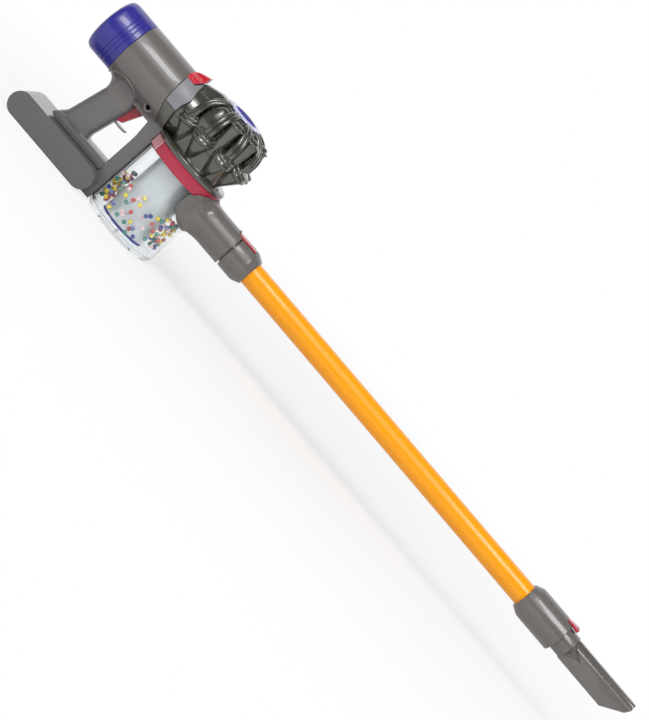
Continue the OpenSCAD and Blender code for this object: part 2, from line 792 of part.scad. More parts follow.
module filter_cap() {
    color([0.23, 0.2, 0.6])
    at_bin() translate([-body_back, 0, body_h]) rotate([0, -90, 0])
    difference() {
        rotate_extrude() polygon(concat(
            [[0, cap_l - cap_wall], [0, cap_l]],
            arc_points([body_r - cap_shoulder, cap_l - cap_round], cap_shoulder, cap_round, 90, 0, 8),
            [[body_r, 0], [cap_in_r, 0], [cap_in_r, cap_l - cap_round - cap_wall],
             [body_r - cap_shoulder, cap_l - cap_wall]]
        ));
        for (i = [0:2]) translate([0, 0, groove_pitch * (i + 1.4)]) difference() {
            cylinder(r = body_r + over, h = groove_w);
            translate([0, 0, -over]) cylinder(r = body_r - groove_deep, h = groove_w + 2 * over);
        }
    }
}

pad_t = 9;

module filter_pad() {
    color([0.93, 0.92, 0.88])
    at_bin() along_x(-body_back - tail_l - gap - pad_t, body_h) cylinder(r = cap_in_r - gap, h = pad_t);
}

// Motor, its mount, shaft and fan inside the housing

body_bore_r = body_r - body_wall;
motor_r = 13.5;
motor_l = 36;
motor_back = -0.94 * body_back;
mount_t = 5;
shaft_r = 1.5;
fan_x = motor_back + motor_l + 5;
fan_t = 7;
fan_r = 0.64 * body_r;
fan_blades = 9;

module motor() {
    color(steel)
    at_bin() difference() {
        union() {
            along_x(motor_back, body_h) cylinder(r = motor_r, h = motor_l);
            along_x(motor_back + motor_l, body_h) cylinder(r = 0.35 * motor_r, h = 0.4 * mount_t);
        }
        along_x(motor_back + motor_l / 2, body_h) cylinder(r = shaft_r + fit, h = motor_l);
    }
}

module motor_mount() {
    color([0.2, 0.2, 0.2])
    at_bin() along_x(motor_back + motor_l - 2.4 * mount_t, body_h) difference() {
        cylinder(r = body_bore_r - seat_gap, h = mount_t);
        translate([0, 0, -over]) cylinder(r = motor_r + fit, h = mount_t + 2 * over);
        for (i = [0:5]) rotate([0, 0, 60 * i + 30]) translate([0.5 * (motor_r + body_bore_r), 0, -over])
            cylinder(r = 0.3 * (body_bore_r - motor_r), h = mount_t + 2 * over);
    }
}

module motor_shaft() {
    color(steel)
    at_bin() along_x(motor_back + motor_l / 2 + gap, body_h) cylinder(r = shaft_r,
        h = motor_l / 2 + 5 + fan_t);
}

module fan_wheel() {
    color([0.85, 0.85, 0.82])
    at_bin() along_x(fan_x, body_h) difference() {
        union() {
            cylinder(r = fan_r, h = 0.25 * fan_t);
            cylinder(r = 0.24 * fan_r, h = fan_t);
            for (i = [0:fan_blades - 1]) rotate([0, 0, i * 360 / fan_blades])
                translate([0.3 * fan_r, 0, 0]) rotate([0, 0, 24]) cube([0.6 * fan_r, 0.06 * fan_r, fan_t]);
        }
        translate([0, 0, -over]) cylinder(r = shaft_r + 0.5 * fit, h = fan_t + 2 * over);
    }
}

// Housing halves: motor barrel, grip, block and post, split along the middle

grip_back = grip_reach + grip_t;
grip_top_z = wand_h + 12;
flare_z = body_h - 0.82 * body_r;
flare_w = 1.45 * grip_w;
block_top = foot_h + block_h;
block_nose = 6.7;
post_x = -bin_r - post_t;
grip_wall = 2.4;

// Soft-cornered section of the grip, from x0 to x1 and w wide
module grip_slice(x0, x1, z, w) {
    translate([(x0 + x1) / 2, 0, z]) linear_extrude(slice_t) polygon([
        for (i = [0:31])
            let (a = i * 360 / 32, c = cos(a), s = sin(a))
            [(x1 - x0) / 2 * sign(c) * pow(abs(c), 0.62), w / 2 * sign(s) * pow(abs(s), 0.62)]
    ]);
}

module grip_outer() {
    hull() {
        grip_slice(-grip_back - 0.22 * grip_t, -grip_reach + 0.06 * grip_t, flare_z, flare_w);
        grip_slice(-grip_back, -grip_reach, grip_top_z, grip_w);
    }
    hull() {
        grip_slice(-grip_back, -grip_reach, grip_top_z, grip_w);
        grip_slice(-grip_back - grip_rake - 0.04 * grip_t, -grip_reach - grip_rake, block_top - slice_t,
            grip_w);
    }
}

shelf_z = wand_h - 11;
shelf_t = 2;

module grip_room() {
    hull() {
        grip_slice(-grip_back + grip_wall, -grip_reach - grip_wall, flare_z, grip_w - 2 * grip_wall);
        grip_slice(-grip_back + grip_wall - 0.35 * grip_rake, -grip_reach - grip_wall - 0.35 * grip_rake,
            shelf_z, grip_w - 2 * grip_wall);
    }
    hull() {
        grip_slice(-grip_back + grip_wall - 0.5 * grip_rake, -grip_reach - grip_wall - 0.5 * grip_rake,
            shelf_z - shelf_t - slice_t, grip_w - 2 * grip_wall);
        grip_slice(-grip_back + grip_wall - grip_rake, -grip_reach - grip_wall - grip_rake,
            foot_h + grip_wall, grip_w - 2 * grip_wall);
    }
}

// Side view of the block over the foot and of the front post
module frame_outline() {
    polygon([
        [-grip_back - grip_rake - 0.06 * grip_t, block_top],
        [-grip_back - grip_rake - block_nose, foot_h + 0.3 * block_h],
        [-grip_back - grip_rake - 0.2 * block_nose, foot_h],
        [post_x, foot_h], [post_x, 2 * seat_gap], [-0.8 * bin_r, 2 * seat_gap],
        [-0.8 * bin_r, body_h - 0.9 * body_r], [post_x - 0.4 * post_t, body_h - 0.9 * body_r],
        [post_x - 0.18 * post_t, body_h - 1.1 * body_r], [post_x, wand_h + 0.15 * post_t], [post_x, block_top]
    ]);
}

module housing_solid() {
    intersection() {
        along_x(-body_back, body_h) cylinder(r = body_r, h = body_back);
        behind_seam();
    }
    along_x(-body_back - tail_l, body_h) cylinder(r = cap_in_r - seat_gap, h = tail_l + over);
    grip_outer();
    side_plate(post_w) frame_outline();
}

screw_r = 1.4;
screw_head_r = 2.5;
screw_head_t = 1.8;
screw_tip_y = -0.4 * body_r;
near_screw = [-1.06 * body_d, body_h - 0.75 * body_r];
far_screws = [[post_x + 0.32 * post_t, wand_h], [post_x - post_t, foot_h + 0.5 * block_h]];
boss_r = 3;
hinge_x = -grip_reach - 5.5;
hinge_z = wand_h + 0.9;
hinge_r = 1.2;

module post_cuts() {
    // the bin, ring and flange stand in front of the post
    translate([0, 0, -over]) cylinder(r = bin_r + gap, h = ring_z);
    translate([0, 0, ring_z - over]) cylinder(r = ring_r + 2 * gap, h = ring_h + over);
    translate([0, 0, flange_z - gap]) cylinder(r = flange_r + gap, h = pack_h);
}

module housing() {
    at_bin() difference() {
        union() {
            housing_shell();
            // boss for the screw beside the fan
            intersection() {
                cross_bar(near_screw[0], near_screw[1], -body_r, body_r, boss_r);
                along_x(-body_back, body_h) cylinder(r = body_bore_r + 0.5 * body_wall, h = 2 * body_back);
            }
        }
        screw_holes();
    }
}

module housing_shell() {
    difference() {
        housing_solid();
        along_x(-body_back - tail_l - over, body_h) cylinder(r = body_bore_r, h = body_back + seam_x + over);
        along_x(-body_back, body_h) cylinder(r = duct_bore_r, h = 2 * body_back);
        grip_room();
        post_cuts();
        intersection() {
            along_x(-body_back, body_h) cylinder(r = duct_r + seat_gap, h = 2 * body_back);
            before_seam();
        }
        lever_room();
        // slot for the trigger, hinge pin and finger rest
        translate([-grip_reach - 2 * grip_wall - grip_rake, -trigger_w / 2 - gap, hinge_z - 3.4])
            cube([4 * grip_wall + grip_rake, trigger_w + 2 * gap, wand_h + 18.6 - hinge_z + 3.4]);
        cross_bar(hinge_x, hinge_z, -0.34 * grip_w, 0.34 * grip_w, hinge_r + fit);
        rest_arc(rest_t + 2 * seat_gap, rest_w + 2 * seat_gap);
    }
}

module screw_holes() {
    cross_bar(near_screw[0], near_screw[1], screw_tip_y, -screw_tip_y, screw_r + fit);
    cross_bar(near_screw[0], near_screw[1], -body_r, screw_tip_y + screw_head_t, screw_head_r + gap);
    for (p = far_screws) {
        cross_bar(p[0], p[1], -0.3 * post_w, post_w, screw_r + fit);
        cross_bar(p[0], p[1], 0.3 * post_w, post_w, screw_head_r + gap);
    }
}

module right_housing() {
    color(grey)
    intersection() {
        housing();
        translate([bin_x - 2 * body_back, -body_d, 0]) cube([4 * body_back, body_d, 2 * body_h]);
    }
}

module left_housing() {
    color(grey)
    intersection() {
        housing();
        translate([bin_x - 2 * body_back, 0, 0]) cube([4 * body_back, body_d, 2 * body_h]);
    }
}

module housing_screws() {
    color(steel)
    at_bin() {
        cross_bar(near_screw[0], near_screw[1], screw_tip_y, -screw_tip_y, screw_r);
        cross_bar(near_screw[0], near_screw[1], screw_tip_y, screw_tip_y + screw_head_t, screw_head_r);
        for (p = far_screws) {
            cross_bar(p[0], p[1], -0.28 * post_w, 0.3 * post_w, screw_r);
            cross_bar(p[0], p[1], 0.3 * post_w, 0.3 * post_w + screw_head_t, screw_head_r);
        }
    }
}

// Trigger on its hinge pin, with return spring, switch and the finger rest below it

trigger_h = 17.2;
trigger_tail = 9.4;
tail_t = 3;
trig_spring_x = hinge_x - 0.8 * trigger_tail;

module trigger() {
    color(crimson)
    at_bin() difference() {
        union() {
            side_plate(trigger_w) polygon([
                [-grip_reach - 2 * grip_wall, hinge_z + 0.94 * trigger_h], [-grip_reach + 0.52 * trigger_h,
                    hinge_z + 0.95 * trigger_h],
                [-grip_reach + 0.11 * trigger_h, hinge_z - 0.05 * trigger_h],
                    [-grip_reach - 0.12 * trigger_h, hinge_z - 0.14 * trigger_h],
                [hinge_x - 0.1 * trigger_h, hinge_z - 0.1 * trigger_h]
            ]);
            cross_bar(hinge_x, hinge_z, -trigger_w / 2, trigger_w / 2, 2.1 * hinge_r);
            translate([hinge_x - trigger_tail, -0.35 * trigger_w, hinge_z - tail_t / 2])
                cube([trigger_tail, 0.7 * trigger_w, tail_t]);
        }
        cross_bar(hinge_x, hinge_z, -trigger_w, trigger_w, hinge_r + fit);
    }
}

module trigger_pin() {
    color(steel)
    at_bin() cross_bar(hinge_x, hinge_z, -0.33 * grip_w, 0.33 * grip_w, hinge_r);
}

module trigger_spring() {
    color(steel)
    at_bin() translate([trig_spring_x, 0, shelf_z + slice_t]) difference() {
        cylinder(r = spring_r, h = hinge_z - tail_t / 2 - shelf_z - slice_t);
        translate([0, 0, -over]) cylinder(r = spring_bore_r, h = trigger_h);
    }
}

module trigger_switch() {
    color([0.12, 0.12, 0.12])
    at_bin() {
        translate([-grip_back + grip_wall + gap, -0.22 * grip_w, hinge_z + 0.3 * trigger_h])
            cube([0.44 * grip_t, 0.44 * grip_w, 0.6 * trigger_h]);
        translate([-grip_back + grip_wall + gap + 0.44 * grip_t, -0.08 * grip_w, hinge_z + 0.55 * trigger_h])
            cube([0.06 * grip_t, 0.16 * grip_w, 0.2 * trigger_h]);
    }
}

rest_t = 1.4;
rest_w = 9;
rest_r = 42;
rest_x = -grip_reach + 2.4;
rest_z = wand_h - 4;

// Curved blade, t thick and w wide, that bends up towards its free end
module rest_arc(t, w) {
    translate([rest_x, 0, rest_z + rest_r]) rotate([90, 0, 0]) rotate([0, 0, 259.5])
        rotate_extrude(angle = 20.5) translate([rest_r - t / 2, -w / 2]) square([t, w]);
}

module finger_rest() {
    color(grey)
    at_bin() rest_arc(rest_t, rest_w);
}

// Battery foot: two case halves, cells, contacts and a screwed door on the left side

foot_step = 0.8;
room_x = -foot_back + 0.135 * foot_l;
room_l = 4 * cell_d + 3;
room_w = foot_w - 6;
room_h = cell_d + 0.7;
door_l = room_l + 1;
door_h = room_h - 1;
door_t = 1.8;
ledge = 1;
cell_pitch = room_l / 4;

module foot_outline(inset) {
    translate([-foot_back + foot_r, foot_r]) circle(r = foot_r - inset);
    translate([-foot_back + foot_l - foot_r, foot_r]) circle(r = foot_r - inset);
    translate([-foot_back + foot_r, inset]) square([foot_l - 2 * foot_r, foot_h - 2 * inset]);
}

module foot_case() {
    at_bin() difference() {
        union() {
            side_plate(foot_w) foot_outline(foot_step);
            side_plate(foot_w - 2 * foot_step) foot_outline(0);
        }
        // notch for the front post
        translate([post_x - seat_gap, -post_w / 2 - seat_gap, -over]) cube([2 * post_t,
            post_w + 2 * seat_gap, foot_h + 2 * over]);
        translate([0, 0, -over]) cylinder(r = bin_r + gap, h = foot_h + 2 * over);
        translate([room_x, -room_w / 2, foot_r - room_h / 2]) cube([room_l, room_w, room_h]);
        // doorway and the seat of the door
        translate([room_x + ledge, 0, foot_r - room_h / 2 + ledge]) cube([room_l - 2 * ledge, foot_w,
            room_h - 2 * ledge]);
        translate([room_x - 0.5 - door_tab, foot_w / 2 - door_t - seat_gap, foot_r - door_h / 2 - gap])
            cube([door_l + door_tab + gap, foot_w, door_h + 2 * gap]);
        cross_bar(door_screw_x, foot_r, foot_w / 2 - 0.5 * door_tab - 6, foot_w, screw_r + fit);
        for (p = foot_screw_at) {
            cross_bar(p[0], p[1], -0.3 * foot_w, foot_w, screw_r + fit);
            cross_bar(p[0], p[1], foot_w / 2 - 3 * screw_head_t, foot_w, screw_head_r + gap);
        }
    }
}

door_tab = 6.4;
door_screw_x = room_x - 0.5 * door_tab;
foot_screw_at = [
    [-foot_back + 0.55 * foot_r, foot_r],
    [-foot_back + foot_l - 1.65 * foot_r, 0.7 * foot_r],
    [-foot_back + foot_l - 1.65 * foot_r, 1.45 * foot_r]
];

module foot_case_right() {
    color(foot_grey)
    intersection() {
        foot_case();
        translate([bin_x - 2 * foot_back, -foot_w, -over]) cube([2 * foot_back, foot_w, 2 * foot_h]);
    }
}

module foot_case_left() {
    color(foot_grey)
    intersection() {
        foot_case();
        translate([bin_x - 2 * foot_back, 0, -over]) cube([2 * foot_back, foot_w, 2 * foot_h]);
    }
}

module foot_screws() {
    color(steel)
    at_bin() for (p = foot_screw_at) {
        cross_bar(p[0], p[1], -0.28 * foot_w, foot_w / 2 - 3 * screw_head_t, screw_r);
        cross_bar(p[0], p[1], foot_w / 2 - 3 * screw_head_t, foot_w / 2 - 2 * screw_head_t, screw_head_r);
    }
}

module battery_door() {
    color(foot_grey)
    at_bin() difference() {
        translate([room_x - 0.5 - door_tab + gap, foot_w / 2 - door_t, foot_r - door_h / 2])
            cube([door_l + door_tab - gap, door_t - 0.3 * foot_step, door_h]);
        cross_bar(door_screw_x, foot_r, 0, foot_w, screw_r + fit);
        cross_bar(door_screw_x, foot_r, foot_w / 2 - 0.5 * door_t, foot_w, screw_head_r + seat_gap);
    }
}

module door_screw() {
    color(steel)
    at_bin() {
        cross_bar(door_screw_x, foot_r, foot_w / 2 - 0.5 * door_tab - 5.6, foot_w / 2 - 0.5 * door_t,
            screw_r);
        cross_bar(door_screw_x, foot_r, foot_w / 2 - 0.5 * door_t, foot_w / 2 - 0.15 * door_t, screw_head_r);
    }
}

contact_t = 0.5;
nub_h = 1;

module battery_cells() {
    color([0.25, 0.5, 0.3])
    at_bin() for (i = [0:3]) {
        x = room_x + (i + 0.5) * cell_pitch;
        y0 = -room_w / 2 + contact_t;
        cross_bar(x, foot_r, y0 + nub_h, y0 + cell_l, cell_d / 2);
        cross_bar(x, foot_r, y0, y0 + nub_h + slice_t, 0.19 * cell_d);
    }
}

module contact_plates() {
    color(steel)
    at_bin() for (i = [0:3])
        translate([room_x + (i + 0.22) * cell_pitch, -room_w / 2, foot_r - 0.3 * cell_d])
            cube([0.56 * cell_pitch, contact_t, 0.6 * cell_d]);
}

module contact_springs() {
    color(steel)
    at_bin() for (i = [0:3]) {
        x = room_x + (i + 0.5) * cell_pitch;
        y0 = -room_w / 2 + contact_t + cell_l + gap;
        difference() {
            cross_bar(x, foot_r, y0, foot_w / 2 - door_t, 0.24 * cell_d);
            cross_bar(x, foot_r, y0 - over, foot_w / 2 - door_t - contact_t, 0.16 * cell_d);
        }
    }
}

filter_cap();
filter_pad();
right_housing();
left_housing();
housing_screws();
motor();
motor_mount();
motor_shaft();
fan_wheel();
duct_upper();
duct_lower();
release_lever();
lever_spring();
cyclone_cones();
cyclone_dome();
disc_rim();
disc_centre();
latch_ring();
latch_grips();
clear_bin();
bin_base();
inner_cylinder();
stirrer_motor();
stirrer_shaft();
stirrer_disc();
beads_red();
beads_yellow();
beads_blue();
beads_green();
beads_white();
neck();
top_collar();
wand_button();
wand();
low_collar();
tool_button();
crevice_tool();
trigger();
trigger_pin();
trigger_spring();
trigger_switch();
finger_rest();
foot_case_right();
foot_case_left();
foot_screws();
battery_door();
door_screw();
battery_cells();
contact_plates();
contact_springs();
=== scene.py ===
import math

import bmesh
import bpy
import numpy as np
from mathutils import Matrix, Vector


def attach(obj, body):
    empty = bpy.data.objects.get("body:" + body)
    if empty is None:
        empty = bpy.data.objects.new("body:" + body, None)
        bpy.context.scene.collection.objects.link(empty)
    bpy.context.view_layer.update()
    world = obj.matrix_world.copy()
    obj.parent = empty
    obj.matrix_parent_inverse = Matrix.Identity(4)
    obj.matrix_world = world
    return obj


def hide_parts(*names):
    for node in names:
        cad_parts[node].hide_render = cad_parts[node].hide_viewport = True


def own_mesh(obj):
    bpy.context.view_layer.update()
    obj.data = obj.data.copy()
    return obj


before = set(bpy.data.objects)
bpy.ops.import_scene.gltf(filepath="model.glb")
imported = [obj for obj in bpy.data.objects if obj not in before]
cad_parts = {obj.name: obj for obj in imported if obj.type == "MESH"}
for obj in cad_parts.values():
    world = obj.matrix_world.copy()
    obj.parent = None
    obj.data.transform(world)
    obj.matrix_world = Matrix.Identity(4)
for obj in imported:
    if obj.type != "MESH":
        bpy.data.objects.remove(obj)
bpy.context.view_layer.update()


# Filter cap
# The violet cup that closes the back of the motor barrel. Injection-moulded ABS with
# three fine grooves near its mouth, pushed over the barrel's tail.

# Sizes are millimetres in the frame's axes: X along the wand, Y across, Z up.
BIN_X = -223.75
BARREL_R = 27.3
BARREL_Z = 110.5
BARREL_BACK = 105.0
CAP_LENGTH = 31.0
CAP_BORE_R = 25.4
CAP_GROOVES = (5.2, 8.9, 12.6)
GROOVE_DEPTH = 0.4
VIOLET = (48, 44, 142)


def paint(colour):
    """Linear colour of a paint written as 0 to 255: ((c + 0.055) / 1.055) ^ 2.4, straight below 0.04."""
    c = np.array(colour, float) / 255
    linear = np.where(c < 0.04045, c / 12.92, ((c + 0.055) / 1.055) ** 2.4)
    return (*[float(v) for v in linear], 1.0)


class Wire:
    """A value inside a node tree. Arithmetic on it adds the Math node that works it out."""

    def __init__(self, owner, socket):
        self.owner = owner
        self.socket = socket

    def math(self, operation, a, b):
        return self.owner.node("ShaderNodeMath", {"operation": operation}, {0: a, 1: b})

    def __add__(self, other):
        return self.math("ADD", self, other)

    def __radd__(self, other):
        return self.math("ADD", other, self)

    def __sub__(self, other):
        return self.math("SUBTRACT", self, other)

    def __rsub__(self, other):
        return self.math("SUBTRACT", other, self)

    def __mul__(self, other):
        return self.math("MULTIPLY", self, other)

    def __rmul__(self, other):
        return self.math("MULTIPLY", other, self)

    def __truediv__(self, other):
        return self.math("DIVIDE", self, other)

    def __rtruediv__(self, other):
        return self.math("DIVIDE", other, self)


class NodeTree:
    """The nodes of a material or of the room's light, all added by one method."""

    def __init__(self, owner):
        owner.use_nodes = True
        self.tree = owner.node_tree

    def feed(self, socket, value):
        if isinstance(value, Wire):
            self.tree.links.new(value.socket, socket)
        else:
            socket.default_value = value

    def node(self, kind, settings, sockets, out=0):
        """Adds a node and gives it its settings first, then its sockets' values or links."""
        node = self.tree.nodes.new(kind)
        for key, value in settings.items():
            setattr(node, key, value)
        for key, value in sockets.items():
            self.feed(node.inputs[key], value)
        return Wire(self, node.outputs[out])


class Finish(NodeTree):
    """One material. Constants go on the shader's own sockets, what varies is wired in."""

    def __init__(self, name, colour, constants):
        self.material = bpy.data.materials.new(name)
        super().__init__(self.material)
        self.shader = self.tree.nodes["Principled BSDF"]
        self.colour = paint(colour)
        self.material.diffuse_color = self.colour
        self.set({**constants, "Base Color": self.colour})
        self.place = self.node("ShaderNodeTexCoord", {}, {}, "Object")

    def set(self, sockets):
        for key, value in sockets.items():
            self.feed(self.shader.inputs[key], value)

    def noise(self, scale, detail=2.0, stretch=(1, 1, 1)):
        """Cloudy value round 0.5, its features 1/scale metres across, drawn out by stretch."""
        at = self.node("ShaderNodeMapping", {}, {"Vector": self.place, "Scale": stretch})
        return self.node("ShaderNodeTexNoise", {}, {"Vector": at, "Scale": scale, "Detail": detail})

    def tint(self, amount, shade):
        """Mixes the paint towards shade by a wired amount."""
        return self.node("ShaderNodeMix", {"data_type": "RGBA"}, {0: amount, 6: self.colour, 7: shade}, 2)

    def relief(self, height, depth):
        """Normal of a surface that stands up by height times depth metres."""
        return self.node("ShaderNodeBump", {}, {"Height": height, "Distance": depth, "Strength": 1.0})


def moulded(name, colour, roughness, coat=0.0, grain=0.00001):
    """Moulded plastic: faint flow marks in its colour, uneven gloss, fine scuffs and a shallow
    spark-eroded grain."""
    finish = Finish(name, colour, {"Coat Weight": coat, "Coat Roughness": 0.06, "IOR": 1.5})
    clouds = finish.noise(28.0)
    scuffs = finish.noise(900.0, 4.0, (0.08, 1, 1))
    dull = tuple(0.86 * c for c in finish.colour[:3]) + (1.0,)
    finish.set({
        "Base Color": finish.tint(clouds * 0.5, dull),
        "Roughness": roughness + 0.1 * (clouds - 0.5) + 0.05 * (scuffs - 0.5),
        "Normal": finish.relief(finish.noise(2400.0, 3.0) + 0.3 * scuffs, grain),
    })
    return finish


def eased(points, cut, steps=5, closed=True):
    """Polyline with soft corners: corner P turns into P + u c (1-s)^2 + v c s^2 for s from 0 to 1,
    where u and v point to its neighbours and c is the cut, at most 0.45 of the shorter side."""
    p = np.asarray(points, float)
    u = np.roll(p, 1, 0) - p
    v = np.roll(p, -1, 0) - p
    u_long = np.linalg.norm(u, axis=1)
    v_long = np.linalg.norm(v, axis=1)
    most = 0.45 * np.minimum(u_long, v_long)
    c = np.minimum(np.maximum(np.broadcast_to(cut, len(p)), 0.02), most)[:, None, None]
    s = np.linspace(0, 1, steps)[None, :, None]
    u = (u / u_long[:, None])[:, None]
    v = (v / v_long[:, None])[:, None]
    soft = (p[:, None] + c * (u * (1 - s) ** 2 + v * s ** 2)).reshape(-1, 2)
    if closed:
        return soft
    return np.concatenate([p[:1], soft[steps:-steps], p[-1:]])


def skin(grid, loop=False):
    """Closed skin over rings of points: quads join neighbours round each ring and from ring to ring.
    The first and last ring are capped, or joined to each other when the rings form a loop."""
    rings, count = grid.shape[:2]
    i = np.arange(rings * count).reshape(rings, count)
    near = i if loop else i[:-1]
    far = np.roll(i, -1, 0) if loop else i[1:]
    quads = np.stack([near, np.roll(near, -1, 1), np.roll(far, -1, 1), far], -1).reshape(-1, 4)
    faces = quads.tolist()
    if not loop:
        faces += [i[0][::-1].tolist(), i[-1].tolist()]
    return grid.reshape(-1, 3), faces


def turned(profile, axis="z", at=(0, 0, 0), loop=False, steps=96):
    """Solid of revolution: point (r, h) becomes r cos a, r sin a round the axis and h along it."""
    r, h = np.asarray(profile, float).T[:, :, None]
    a = np.linspace(0, 2 * np.pi, steps, endpoint=False)[None]
    x, y, z = r * np.cos(a), r * np.sin(a), h + 0 * a
    grid = np.stack([z, y, x] if axis == "x" else [x, y, z], -1)
    return skin(grid + np.array(at, float), loop)


def mesh_of(name, shells):
    """One mesh, in metres, from closed shells in millimetres, with poles and seams merged and faces
    outwards."""
    points, faces, start = [], [], 0
    for shell_points, shell_faces in shells:
        points.append(shell_points)
        faces += [[start + c for c in face] for face in shell_faces]
        start += len(shell_points)
    mesh = bpy.data.meshes.new(name)
    mesh.from_pydata((np.concatenate(points) / 1000).tolist(), [], faces)
    work = bmesh.new()
    work.from_mesh(mesh)
    bmesh.ops.remove_doubles(work, verts=work.verts, dist=1e-6)
    bmesh.ops.recalc_face_normals(work, faces=work.faces)
    work.to_mesh(mesh)
    work.free()
    return mesh


def smooth(thing, crease):
    """Shades a piece smooth, with edges above the crease angle kept sharp."""
    thing.data.shade_smooth()
    thing.data.set_sharp_from_angle(angle=math.radians(crease))


def placed(name, mesh, finish, body, nodes, crease):
    """Puts a finished mesh in the scene, on the body that carries it and in place of its plain nodes."""
    mesh.materials.clear()
    mesh.materials.append(finish.material)
    thing = bpy.data.objects.new(name, mesh)
    bpy.context.collection.objects.link(thing)
    smooth(thing, crease)
    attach(thing, body)
    if nodes:
        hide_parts(*nodes)
    return thing


def piece(name, shells, finish, body, nodes=(), crease=38):
    """Piece made of closed shells."""
    return placed(name, mesh_of(name, shells), finish, body, nodes, crease)


def cap_profile():
    """Radius and distance behind the barrel: mouth, three small grooves, soft shoulder, flat back, inner
    wall."""
    wall = [(CAP_BORE_R, 0.15), (BARREL_R, 0.15)]
    floor = BARREL_R - GROOVE_DEPTH
    for g in CAP_GROOVES:
        wall += [(BARREL_R, g), (floor, g + 0.25), (floor, g + 0.55), (BARREL_R, g + 0.8)]
    wall += [(BARREL_R, 24.8), (25.6, 28.6), (20.6, 30.4), (13.5, CAP_LENGTH), (0, CAP_LENGTH)]
    cut = [0, 0.5] + 12 * [0.12] + [4.0, 2.4, 3.0, 4.0, 0]
    outer = eased(wall, cut, 6, closed=False)
    return np.concatenate([outer, [[0, 29.0], [13.0, 29.0], [23.0, 26.6], [25.3, 22.0]]])


violet_plastic = moulded("violet plastic", VIOLET, 0.26, 0.3)
cap_rings = cap_profile() * (1, -1)
piece(
    "filter_cap_shell",
    [turned(cap_rings, "x", (BIN_X - BARREL_BACK, 0, BARREL_Z), loop=True)],
    violet_plastic, "handheld", ["filter_cap"], 50,
)


# Motor barrel
# The tube that holds motor and fan: two halves of smooth grey ABS screwed together. Its
# front edge slants forward below, where the duct collar begins.

BARREL_GREY = (106, 102, 100)
BARREL_BORE_R = 24.9
# Stations of the front seam: heights in barrel radii over the axis, steps in barrel diameters.
SEAM_HEIGHTS = (-1.3, -0.92, -0.45, -0.2, 0.27, 1.05, 1.3)
SEAM_STEPS = (0.235, 0.192, 0.115, 0.07, 0.038, 0.0, 0.0)
SEAM_BACK = 1.026
SCREW_HOLE = (BIN_X - 57.88, 90.03)
SCREW_HOLE_R = 2.3
LEVER_ROOM = 1.6
barrel_plastic = moulded("barrel plastic", BARREL_GREY, 0.25, 0.45, 0.000006)


def seam_at(z):
    """Where the slanted front seam lies along X, at a height: straight steps between its stations."""
    step = np.interp((z - BARREL_Z) / BARREL_R, SEAM_HEIGHTS, SEAM_STEPS)
    return BIN_X + 2 * BARREL_R * (step - SEAM_BACK)


def barrel_shell(outer, inner, back, front, angles, ease=0.7):
    """Tube wall along X whose ends follow back(z) and front(z): ring r, t becomes
    back + t (front - back) along X and r cos a, r sin a across, with soft rims."""
    drawn = 50
    wall = eased([(inner, 0), (outer, 0), (outer, drawn), (inner, drawn)], ease, 6)
    r, t = wall[:, 0][None], wall[:, 1][None] / drawn
    a = np.radians(angles)[:, None]
    y, z = r * np.cos(a), BARREL_Z + r * np.sin(a)
    x0, x1 = back(z), front(z)
    return np.stack([x0 + t * (x1 - x0), y, z], -1)


def rod(x, z, y0, y1, radius, ease=0.0, bore=0.0):
    """Round bar, or tube with a bore, across the toy from y0 to y1: a turned profile laid along Y."""
    if bore:
        profile = eased([(bore, y0), (radius, y0), (radius, y1), (bore, y1)], ease, 4)
    else:
        side = [(0, y0), (radius, y0), (radius, y1), (0, y1)]
        profile = eased(side, [0, ease, ease, 0], 4, closed=False)
    points, faces = turned(profile, loop=bool(bore), steps=40)
    return points[:, [0, 2, 1]] + np.array([x, 0, z]), faces


def plate(outline, width, ease, steps=5):
    """Flat piece in side view: the outline (x, z) is carried across from -w/2 to w/2, and near both faces
    it shrinks along its own normals by e (1 - sin a) while y moves in by e (1 - cos a)."""
    p = np.asarray(outline, float)
    along = np.roll(p, -1, 0) - np.roll(p, 1, 0)
    area = np.sum(p[:, 0] * np.roll(p[:, 1], -1) - np.roll(p[:, 0], -1) * p[:, 1])
    inward = np.stack([-along[:, 1], along[:, 0]], -1) * np.sign(area)
    inward /= np.linalg.norm(inward, axis=1)[:, None]
    a = np.linspace(0, np.pi / 2, steps)
    shrink = ease * (1 - np.sin(a))
    depth = width / 2 - ease * (1 - np.cos(a))
    shrink = np.concatenate([shrink, shrink[::-1]])
    y = np.concatenate([-depth, depth[::-1]])
    grid = p[None] + inward[None] * shrink[:, None, None]
    grid = np.stack([grid[..., 0], y[:, None] + 0 * grid[..., 0], grid[..., 1]], -1)
    return skin(grid)


def cut_away(thing, tools, crease=38):
    """Takes closed shells out of a piece with Boolean modifiers, keeps the result, deletes the tools."""
    blocks = []
    for shell in tools:
        block = bpy.data.objects.new("tool", mesh_of("tool", [shell]))
        bpy.context.collection.objects.link(block)
        cutter = thing.modifiers.new("cut", "BOOLEAN")
        cutter.object = block
        cutter.operation = "DIFFERENCE"
        cutter.solver = "MANIFOLD"
        blocks.append(block)
    shape = thing.evaluated_get(bpy.context.evaluated_depsgraph_get())
    thing.data = bpy.data.meshes.new_from_object(shape)
    thing.modifiers.clear()
    for block in blocks:
        bpy.data.objects.remove(block)
    smooth(thing, crease)


